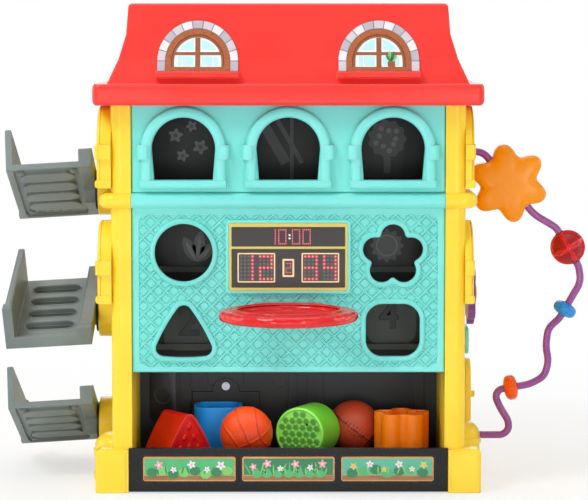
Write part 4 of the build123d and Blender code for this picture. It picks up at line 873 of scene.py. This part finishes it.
hoop_ring = bmesh.new()
hoop_section = []
for step in range(36):
    angle = 2 * math.pi * step / 36
    size = 2 * (abs(math.cos(angle)) ** 3 + abs(math.sin(angle)) ** 3) ** (1 / 3)
    hoop_section.append(((hoop_opening + hoop_rim) / 2 + (hoop_rim - hoop_opening) * math.cos(angle) / size,
                         hoop_level + hoop_height * math.sin(angle) / size))
lathe(hoop_ring, hoop_section, steps=224, closed=True)
for vert in hoop_ring.verts:
    reach = math.hypot(vert.co.x, vert.co.y)
    if reach > waves_start:
        dip = wave_depth * (0.5 - 0.5 * math.cos(hoop_waves * math.atan2(vert.co.y, vert.co.x)))
        dip *= max(0.0, 2 * (vert.co.z - hoop_low) / hoop_height - 1)
        vert.co.xy *= 1 - dip * (reach - waves_start) / (hoop_rim - waves_start) / reach
bmesh.ops.translate(hoop_ring, verts=hoop_ring.verts, vec=(0, hoop_middle_y, 0))
slab(hoop_ring, 0, hoop_level, bracket_front, bracket_depth, bracket_width, hoop_height - 0.4,
     corner=2.5)
new_piece("rounded_hoop", hoop_ring, [hoop_abs], replaces=("hoop",), smooth=40)

hoop_bead = bmesh.new()
for level, rise in ((hoop_high, 1.2), (hoop_low, -1.2)):
    lathe(hoop_bead, ring_profile(hoop_opening + 2.6, level, 1.8, rise),
          moved(0, hoop_middle_y, 0), 96, closed=True)
new_piece("hoop_beads", hoop_bead, [hoop_abs])

# ROOF. One hollow red ABS moulding, glossy, on the storey below. Its wide eave band and its slopes
# carry the two attic windows' sills.
roof_abs = moulded_plastic("red_moulded_abs_roof", "#F43E36", "#F23A32", 0.30, 1.6, 0.06, edge=1.6)
dress(roof_abs, "roof_shell")
eave_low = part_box("roof_shell")[0][2] * 1000
eave_half_width, eave_half_depth, eave_corner, eave_back = 163.8, 129.5, 5.0, 129.4
band_middle, band_half, band_swell, band_sink = 9.1, 8.8, 2.0, 0.6
eave_bulge = bmesh.new()
rows = []
for quarter in range(4):
    across = (1, -1, -1, 1)[quarter] * (eave_half_width - eave_corner)
    along = (1, 1, -1, -1)[quarter] * (eave_half_depth - eave_corner)
    for step in range(9):
        angle = math.radians(90 * quarter + 90 * step / 8)
        row = []
        for part in (lift / 6 - 1 for lift in range(13)):
            reach = eave_corner - band_sink + band_swell * (1 - part ** 4) ** 0.5
            row.append(eave_bulge.verts.new((across + reach * math.cos(angle),
                                             min(along + reach * math.sin(angle), eave_back),
                                             eave_low + band_middle + band_half * part)))
        rows.append(row)
skin(eave_bulge, rows, True, around=False)
new_piece("eave_band_bulge", eave_bulge, [roof_abs], smooth=50)

# The attic windows: a stone arch of thirteen blocks, a wooden frame and sill, and blue panes.
slope_kinks = (370.0, 391.0)
attic_x = 76.7
attic_foot = 359.5
attic_leg = 8.7
stone_inks = [*printed_films(("stone_joint", "#8F8690", "#7E767E"), ("stone_white", "#F4F0F0", "#E4DEE2"),
                             ("stone_pale", "#DAD4DA", "#CCC4CC"), ("stone_grey", "#C4BCC4", "#B6AEB6")),
              printed_wood("printed_window_frame", "#B8683A", "#9E5428", 1.6, 1.0),
              *printed_films(("frame_shadow", "#7A2E08", "#6A2606")),
              printed_wood("printed_window_sash", "#A0603A", "#8A5028", 1.6, 1.0),
              *printed_films(("pane_white", "#FAFCFC", "#EEF4F6"),
                             ("pane_blue", "#C8F4F8", "#B4E8F0", 0.6, 0.3),
                             ("pot_clay", "#A8562C", "#964A24")), leaf_green, deep_green]
joint, stone, _, _, wood, shadow, sash, glare, glass, clay, light_leaf, dark_leaf = range(12)


def arch_point(radius, distance, middle_radius):
    """A point of an arched run with straight legs, at a distance along its middle line."""
    bend = math.pi * middle_radius
    if distance < attic_leg:
        return -radius, distance
    if distance > attic_leg + bend:
        return radius, 2 * attic_leg + bend - distance
    angle = math.pi - (distance - attic_leg) / middle_radius
    return radius * math.cos(angle), attic_leg + radius * math.sin(angle)


def corners(shape, x, lift, points):
    """New corners at points measured from a window's foot, a lift above the slope."""
    return [shape.verts.new((x + px, -lift, attic_foot + pz)) for px, pz in points]


def arch_band(shape, x, inner, outer, start, end, lift, coat):
    """A stretch of a band round an arch, from one share of its run to another."""
    middle = (inner + outer) / 2
    run = 2 * attic_leg + math.pi * middle
    steps = max(2, math.ceil((end - start) * run / 2.2))
    marks = sorted([start * run + (end - start) * run * n / steps for n in range(steps + 1)]
                   + [m for m in (attic_leg, run - attic_leg) if start * run < m < end * run])
    rows = [corners(shape, x, lift, [arch_point(radius, mark, middle) for radius in (inner, outer)])
            for mark in marks]
    faces = [shape.faces.new((a, b, d, c)) for (a, b), (c, d) in zip(rows, rows[1:])]
    thicken(shape, faces, lift + 0.3, coat)


def arch_panel(shape, x, radius, lift, coat):
    """A whole arched panel, from its foot to its crown."""
    run = 2 * attic_leg + math.pi * radius
    rim = [arch_point(radius, run * n / 40, radius) for n in range(41)]
    thicken(shape, [shape.faces.new(corners(shape, x, lift, rim))], lift + 0.3, coat)


def lay_on_slope(shape):
    """Moves flat work on to the roof's front slope: its Y is read as height above the slope."""
    for level in slope_kinks:
        cut_away(shape, (0, 0, level), (0, 0, 1), clear=False)
    for vert in shape.verts:
        vert.co.y += met_from_front(roof, vert.co.x, vert.co.z).y


roof = surface("roof_shell")
stones = 13
pane_radius, pane_foot, pane_inside = 18.4, 18.0, 3.4
stone_inner, stone_outer = 27.7, 34.1
# The bands of a window's arch, by their two radii and lift, and its bars, by place, lift and size.
window_bands = ((22.5, 27.2, 1.7, wood), (21.7, 22.6, 1.35, shadow), (20.0, 21.8, 1.6, sash))
window_bars = ((15.0, 1.5, 39.0, 2.5, sash), (14.2, 1.6, 4.2, 28.2, sash), (1.9, 1.65, 50.0, 3.8, wood))
for side, name in ((-1, "left"), (1, "right")):
    middle = side * attic_x
    window = bmesh.new()
    arch_panel(window, middle, stone_outer + 0.2, 1.1, joint)
    for n in range(stones):
        arch_band(window, middle, stone_inner, stone_outer, (n + 0.04) / stones, (n + 0.96) / stones,
                  1.75 - 0.12 * (n % 2), stone + (2 * n + side) % 3)
    for inner, outer, lift, coat in window_bands:
        arch_band(window, middle, inner, outer, 0, 1, lift, coat)
    arch_panel(window, middle, 20.2, 1.15, glare)
    for pane in (-1, 1):
        arch = [(pane_inside, pane_foot), (17.4, pane_foot)]
        arch += [(pane_radius * math.cos(a), attic_leg + pane_radius * math.sin(a))
                 for a in (math.radians(34 + 5.6 * k) for k in range(9))]
        arch = [(pane * px, pz) for px, pz in arch + [(pane_inside, attic_leg + 18.0)]]
        face = window.faces.new(corners(window, middle, 1.22, arch[::-pane]))
        thicken(window, [face], 0.3, glass)
        for x, width in ((8.0, 9.2), (15.2, 3.6)):
            slab(window, middle + pane * x, attic_foot + 8.7, -1.22, 0.3, width, 7.8, glass, 0.5)
    for rise, lift, width, height, coat in window_bars:
        slab(window, middle, attic_foot + rise, -lift, 1.0, width, height, coat)
    if side > 0:
        pot_x = middle + 10.5
        slab(window, pot_x, attic_foot + 6.2, -1.72, 0.5, 6.0, 4.8, clay, 0.8)
        for lean, length, ink in ((-38, 7.0, light_leaf), (-14, 9.0, dark_leaf),
                                  (12, 9.4, light_leaf), (38, 7.4, dark_leaf)):
            blade(window, pot_x, attic_foot + 8.2, -1.78, 0.4, length, 2.8, lean, ink)
    lay_on_slope(window)
    new_piece("attic_window_print_" + name, window, stone_inks,
              replaces=("attic_window_" + name,))

# SEE-SAW RAMPS. Three grey ABS trays on black hubs that are screwed through the left wall. Each has
# raised beads round its slots, moulded under its collars' edges, and screws in its lower bosses.
ramp_abs = moulded_plastic("grey_moulded_abs", "#7E8989", "#747F7F", 0.40, 1.3, 0.05, edge=1.4, glint=0.12)
# Painted shade: each slot's floor is a dark grey disc, darker than the ramp, for the shade inside the slot.
slot_shade_grey = moulded_plastic("dark_grey_painted_slot_shade", "#525C5C", "#4A5454", 0.5, 1.3, 0.05, glint=0.0)
dress(ramp_abs, "ramp_top", "ramp_middle", "ramp_bottom")
dress(black_abs, "ramp_hub_top", "ramp_hub_middle", "ramp_hub_bottom", "switch_body", "power_switch")
ramp_roll = 3.5
ramp_inner = 171.6
ramp_channel = 210.7
ramp_floor_rise = 4.5
first_slot = -34.5
slot_pitch = 26.5
slot_radius = 8.0
slot_half_run = 13.5
slot_depth = 4.3
bead_section = ((0.3, -0.2), (0.5, 0.35), (1.5, 0.35), (1.7, -0.2))      # out of the slot, and up


def slot_bead(shape, y):
    """A raised flat bead round one slot, whose ends are round, on the ramp's floor."""
    rows = []
    for step in range(40):
        angle = 2 * math.pi * step / 40
        centre = ramp_channel + math.copysign(slot_half_run, math.cos(angle))
        rows.append([shape.verts.new((centre + (slot_radius + out) * math.cos(angle),
                                      y + (slot_radius + out) * math.sin(angle),
                                      ramp_floor_rise + height))
                     for out, height in bead_section])
    skin(shape, rows, True)


def slot_floor(shape, y):
    """The floor of one slot, in dark grey: painted shade in its recess."""
    made = bmesh.ops.create_circle(shape, cap_ends=True, segments=40, radius=slot_radius - 0.2)["verts"]
    made[0].link_faces[0].material_index = 1
    for vert in made:
        vert.co.x += math.copysign(slot_half_run, vert.co.x)
    bmesh.ops.translate(shape, verts=made, vec=(ramp_channel, y, ramp_floor_rise - slot_depth))


ramp_screws = ((233.1, -48.5), (233.1, 59.5), (187.6, 59.5))
screw_head = ((0.0, -2.4), (2.3, -2.4), (2.3, -1.4), (1.2, -1.2))
rolled = moved(ramp_inner, 0, 0) @ turned(ramp_roll, "Y") @ moved(-ramp_inner, 0, 0)
for name, tilt, pivot, low_side in (("top", -22.0, 252.0, -1), ("middle", 18.0, 143.0, 1),
                                    ("bottom", -22.0, 44.0, -1)):
    beads = bmesh.new()
    for step in range(4):
        slot_bead(beads, low_side * (first_slot + slot_pitch * step))
        slot_floor(beads, low_side * (first_slot + slot_pitch * step))
    for x, y in ramp_screws:
        lathe(beads, screw_head, moved(x, low_side * y, 0), 20)
    put(beads, Matrix.Diagonal((-1, 1, 1, 1)) @ moved(0, 0, pivot) @ turned(tilt, "X") @ rolled)
    new_piece("ramp_beads_" + name, beads, [ramp_abs, slot_shade_grey], body="see_saw_" + name)

# BEAD WIRE. A steel wire in a glossy purple sleeve, pushed into the wall's socket and the barrel.
# The beads and the star are threaded on it.
wire_y = -15.0
dress(moulded_plastic("purple_pvc_sleeve", "#A050A0", "#96469A", 0.28, 1.0, 0.02, edge=0.5, coat=0.4),
      "bead_wire")


def along_wire(x, z, angle):
    """A bead's place: its own Z runs along the wire, its own X stays in the wire's plane."""
    return moved(x, wire_y, z) @ turned(90 - angle, "Y")


# STAR. A puffy hollow star of orange ABS with six round tips, with a moulded rim where the wire
# enters it.
star_abs = moulded_plastic("orange_moulded_abs_star", "#FF9C00", "#FA9600", 0.27, 1.5, edge=0.6,
                           glint=0.05)
star_mean, star_wave, star_tip_wave, star_half = 30.3, 4.9, -0.25, 12.6
star_place = (195.2, 259.1, -50.7)         # X, Z and the wire's angle
star_draw_in, star_rim_reach = 0.72, 25.0
puff = 4.4
bore_radius = 3.75
star = bmesh.new()
bmesh.ops.create_icosphere(star, subdivisions=6, radius=1.0)
for vert in star.verts:
    way = vert.co.copy()
    turn = math.atan2(way.x, way.z)
    reach = star_mean - star_wave * math.cos(6 * turn) + star_tip_wave * math.cos(12 * turn)
    size = (math.hypot(way.x, way.z) ** puff + abs(way.y) ** puff) ** (1 / puff)
    vert.co = Vector((way.x * reach / size, way.y * star_half / size, way.z * reach / size))
    off_axis = math.hypot(vert.co.x, vert.co.y)
    if off_axis < bore_radius + 0.4:
        vert.co.z *= star_draw_in
        if off_axis > bore_radius - 0.8:
            vert.co.xy *= (bore_radius + 0.1) / off_axis
for end in (-1, 1):
    lathe(star, ring_profile(bore_radius + 1.3, end * star_rim_reach, 1.3, end * 1.2), steps=48,
          closed=True)
put(star, along_wire(*star_place))
new_piece("puffy_star", star, [star_abs], "star_bead_body", ("star_bead",), 60)


# BEADS. Solid glossy ABS beads, threaded on the wire: a red ball cut by three crossing grooves, a
# ribbed blue one and a ribbed orange one.
groove_half_width, groove_slope = 1.5, 0.7


def bead(colour, look, radius, length, power, ribs, rib_depth, x, z, angle, coats):
    """A bead as a lathed barrel with a bore, ribbed along the wire or banded by great circles."""
    rounds = []
    for step in range(49):
        rise = math.radians(-90 + 3.75 * step)
        size = (math.cos(rise) ** power + abs(math.sin(rise)) ** power) ** (1 / power)
        rounds.append((max(bore_radius, radius * math.cos(rise) / size),
                       length / 2 * math.sin(rise) / size))
    shape = bmesh.new()
    lathe(shape, rounds, steps=120, closed=True)
    sunk = set()
    for vert in shape.verts:
        around = math.atan2(vert.co.y, vert.co.x)
        reach = math.hypot(vert.co.x, vert.co.y)
        if reach > bore_radius + 0.2:
            sink = rib_depth * (0.5 - 0.5 * abs(math.cos(ribs * around / 2))) * reach / radius
            if not ribs:
                gap = min(abs(vert.co.x), abs(vert.co.y), abs(vert.co.z))
                sink = rib_depth * max(0.0, min(1.0, (gap - groove_half_width) / groove_slope))
                if sink > 0.9 * rib_depth:
                    sunk.add(vert)
            vert.co *= 1 - sink / vert.co.length
    # Faces sunk to full depth take the second coat, a darker colour: painted shade in the recesses.
    for face in shape.faces:
        face.material_index = int(all(vert in sunk for vert in face.verts))
    put(shape, along_wire(x, z, angle))
    new_piece(f"{colour}_{look}_bead", shape, coats, colour + "_bead_body",
              (colour + "_bead",), 50)


bead("red", "banded", 15.4, 30.8, 2.0, 0, 2.2, 248.3, 202.0, -59.7,
     [moulded_plastic("red_moulded_abs_bead", "#DC141C", "#D01018", 0.26, 1.2, 0.03),
      moulded_plastic("red_bead_painted_recess_shade", "#A80C18", "#9C0812", 0.4, 1.2, 0.03, glint=0.0)])
bead("blue", "ribbed", 10.5, 12.0, 2.6, 10, 0.9, 246.2, 146.7, -120.0,
     [moulded_plastic("blue_moulded_abs_bead", "#2894E0", "#228AD6", 0.26, 1.2, 0.03)])
bead("orange", "ribbed", 11.2, 12.4, 2.6, 8, 0.9, 198.4, 76.4, -170.1,
     [moulded_plastic("orange_moulded_abs_bead", "#FF5C06", "#F45602", 0.26, 1.2, 0.03)])

# SPINNER. A purple ABS wheel with eight petals that turns on a yellow pin, with a raised ring and
# pale printed drops on its face.
spinner_abs = moulded_plastic("purple_moulded_abs", "#8E4A9E", "#844094", 0.30)
drop_print = printed_film("printed_lilac", "#D8B4E4", "#CCA4DA", 0.5, 0.35)
dress(spinner_abs, "spinner")
to_right = turned(90, "Z")
spinner_face = moved(168.6, 31.0, 157.0)
drop_foot = 15.2
ring_radius = 12.5
spinner_ring = bmesh.new()
lathe(spinner_ring, ring_profile(ring_radius, 0.0, 1.2, 0.9), closed=True)
drops = bmesh.new()
for angle in range(0, 360, 45):
    blade(drops, drop_foot * math.cos(math.radians(angle)), drop_foot * math.sin(math.radians(angle)),
          -0.12, 0.2, 9.5, 4.6, angle - 90)
for shape, name, coat, turn in ((spinner_ring, "spinner_ring", spinner_abs, turned(90, "Y")),
                                (drops, "spinner_drops", drop_print, to_right)):
    put(shape, spinner_face @ turn)
    new_piece(name, shape, [coat], "spinner_body")

# GARDEN DOOR AND SIDE PLATE. A yellow ABS door on a steel hinge pin, with a printed green leaf, and
# a teal plate above it with three plain raised dots.
dress(yellow_abs, "garden_door")
door_face = moved(165.2, 35.0, 50.0)
dot_x, dot_y, dot_z, dot_pitch = 162.8, 34.0, 114.5, 12.0
dot_profile = ((0.0, 1.0), (2.2, 0.8), (3.2, 0.2), (3.2, -0.2), (0.0, -0.2))
leaves = bmesh.new()
for x, z, lean, length in ((0, 14, 14, 26), (1, 13, -46, 18), (-1, 12, 66, 18)):
    blade(leaves, x, z, -0.1, 0.2, length, length * 0.42, lean, 0)
    blade(leaves, x, z + 1, -0.2, 0.2, length * 0.8, length * 0.12, lean, 1)
put(leaves, door_face @ to_right)
new_piece("door_leaf_print", leaves, [deep_green, leaf_green], "garden_door_body")
plate_dots = bmesh.new()
for step in (-1, 0, 1):
    lathe(plate_dots, dot_profile, moved(dot_x, dot_y + dot_pitch * step, dot_z) @ turned(90, "Y"), 32)
new_piece("side_plate_dots", plate_dots, [teal_abs])

# TOYS. Hollow ABS blocks, one for each shape hole, and two pebbled balls, loose on the bay's floor.
# The triangle's front has a raised rim that follows its outline, with six raised drops inside.
block_red = moulded_plastic("red_moulded_abs_block", "#DC1A12", "#D0120C", 0.3)
block_green = moulded_plastic("green_moulded_abs_block", "#72CC3A", "#68C032")
dress(block_red, "triangle_block")
dress(block_green, "round_block")
dress(moulded_plastic("blue_moulded_abs_block", "#1296EA", "#108ADC"), "square_block")
dress(moulded_plastic("orange_moulded_abs_block", "#FF8408", "#FC7C04"), "flower_block")

triangle_turn = turned(34, "Z")
facing = triangle_turn.to_3x3() @ Vector((0, -1, 0))
rim_gap, rim_width, rim_rise = 0.9, 2.2, 0.9
rim_shape = welded_copy("triangle_block")
front = max(facing.dot(vert.co) for vert in rim_shape.verts)
bmesh.ops.delete(rim_shape, context="FACES",
                 geom=[face for face in rim_shape.faces if face.normal.dot(facing) < 0.99
                       or facing.dot(face.calc_center_median()) < front - 0.6])
inner = rim_shape.faces[:]
for thickness in (rim_gap, rim_width):
    rim = bmesh.ops.inset_region(rim_shape, faces=inner, thickness=thickness, use_even_offset=True,
                                 use_boundary=True)["faces"]
rim = [face for face in rim if face.is_valid]
bmesh.ops.delete(rim_shape, geom=list(set(rim_shape.faces) - set(rim)), context="FACES")
draw_out(rim_shape, rim, facing * rim_rise)
new_piece("triangle_rim", rim_shape, [block_red], "triangle_block_body")

drop_places = ((-9.5, 5.0, 20), (0.0, 6.0, -8), (9.5, 5.0, -24), (-4.8, 14.5, 12), (4.8, 14.5, -14),
               (0.0, 24.0, 0))
triangle_front = moved(-86.0, -82.0, 27.5)
bumps = bmesh.new()
for x, z, lean in drop_places:
    made = bmesh.ops.create_icosphere(bumps, subdivisions=3, radius=1.0)["verts"]
    for vert in made:
        vert.co.x *= 2.3 - 0.7 * vert.co.z
        vert.co.z *= 3.3
    bmesh.ops.transform(bumps, verts=made, matrix=moved(x, 0, z) @ turned(lean, "Y"))
put(bumps, triangle_front @ triangle_turn)
new_piece("triangle_bumps", bumps, [block_red], "triangle_block_body")

# The round block's front is a honeycomb inside a light rim, with one small round hole.
# Each cell's middle is painted darker green as painted shade in its recess, and the hole is a dark disc of
# painted shade.
cell_green, rim_green, cell_shade_green, hole_shade = range(4)
hex_pitch = 6.6
comb_radius = 17.6
comb_front = moved(9.8, -72.0, 43.45) @ turned(-25, "Z")
rim_profile = ((20.4, 0.3), (20.6, -0.9), (21.2, -1.3), (22.0, -1.2), (22.6, -0.7), (22.7, 0.3))
honeycomb = bmesh.new()
lathe(honeycomb, rim_profile, turned(-90, "X"), 96, rim_green, closed=True)
disc(honeycomb, 0, 0, -0.15, 0.4, 20.5, 64, rim_green)
for row in range(-4, 5):
    for column in range(-4, 5):
        x = hex_pitch * (column + 0.5 * (row % 2))
        z = hex_pitch * row * math.sqrt(3) / 2
        if math.hypot(x, z) < comb_radius:
            disc(honeycomb, x, z, -0.75, 0.7, 3.2, 6, cell_green, turn=30)
            disc(honeycomb, x, z, -0.8, 0.15, 2.5, 6, cell_shade_green, turn=30)
disc(honeycomb, 7.4, 8.6, -0.95, 0.3, 1.1, 16, hole_shade)
put(honeycomb, comb_front)
new_piece("round_block_honeycomb", honeycomb,
          [block_green, moulded_plastic("light_green_abs_rim", "#96F064", "#8CE458", 0.3, 1.3, 0.03),
           moulded_plastic("dark_green_painted_cell_shade", "#569C34", "#4E9230", 0.4, 1.3, 0.03, glint=0.05),
           deep_black_and_hole_shade], "round_block_body")


def pebbled_vinyl(name, colour, shade):
    """The skin of a toy ball: pebbles of about 1.1 mm between fine creases."""
    vinyl = moulded_plastic(name, colour, shade, 0.42, 1.2, 0.05, edge=0.4, glint=0.05)
    tree = vinyl.node_tree
    pebbles = add_node(tree, "TexVoronoi", {"Vector": add_node(tree, "TexCoord").outputs["Object"],
                                            "Scale": 1000 / 1.1, "Smoothness": 0.4},
                       feature="SMOOTH_F1")
    bump = add_node(tree, "Bump", {"Height": pebbles.outputs["Distance"], "Strength": 0.5,
                                   "Distance": 0.00022}, invert=True)
    set_inputs(tree.nodes["Principled BSDF"], {"Normal": bump})
    return vinyl


ball_radius = 23.0
seam_radius = 23.3
seam_rise, seam_half_width, seam_slope = 0.5, 1.05, 0.45
ball_z = 43.8


def ball(colour, x, y, vinyl, painted_seam_shade, seam_gap):
    """A ball with raised seams, where seam_gap gives a direction's distance in mm from a seam."""
    shape = bmesh.new()
    bmesh.ops.create_icosphere(shape, subdivisions=6, radius=1.0)
    raised = set()
    for vert in shape.verts:
        rise = max(0.0, min(1.0, (seam_half_width - seam_gap(vert.co)) / seam_slope))
        if rise > 0.5:
            raised.add(vert)
        vert.co *= ball_radius + seam_rise * rise
    # The raised seams take the second coat, painted darker: painted shade for the shade lines along the
    # seams.
    for face in shape.faces:
        face.material_index = int(all(vert in raised for vert in face.verts))
    bmesh.ops.translate(shape, verts=shape.verts, vec=(x, y, ball_z))
    coats = [pebbled_vinyl(colour + "_pebbled_vinyl", *vinyl),
             moulded_plastic(f"dark_{colour}_vinyl_seam_painted_shade", *painted_seam_shade, 0.4, 0.8, 0.03, glint=0.0)]
    new_piece(colour + "_ball_skin", shape, coats, colour + "_ball_body",
              (colour + "_ball",), 60)


def basket_seams(way):
    """Two great circles and two bowed seams, turned a little."""
    way = turned(-18, "X").to_3x3() @ (turned(24, "Y").to_3x3() @ way)
    bowed = abs(way.x) - 0.46 - 0.34 * way.z * way.z
    return seam_radius * min(abs(way.x), abs(way.z), abs(bowed) * 0.95)


def laced_seams(way):
    """A long seam, a cross seam and eight short laces across the long one."""
    way = turned(-38, "Y").to_3x3() @ way
    laces = 9.0
    if way.y < 0 and abs(way.z) < 0.19 and abs(way.x) < 0.46:
        laces = seam_radius * abs((way.x + 0.065) % 0.13 - 0.065)
    return min(seam_radius * abs(way.z), seam_radius * abs(way.x - 0.72), laces + 0.35)


ball("orange", -36.6, -68.0, ("#F2501A", "#E64410"), ("#C23C10", "#B6340C"), basket_seams)
ball("brown", 58.0, -30.0, ("#B84424", "#A83A1E"), ("#4A180E", "#40140A"), laced_seams)
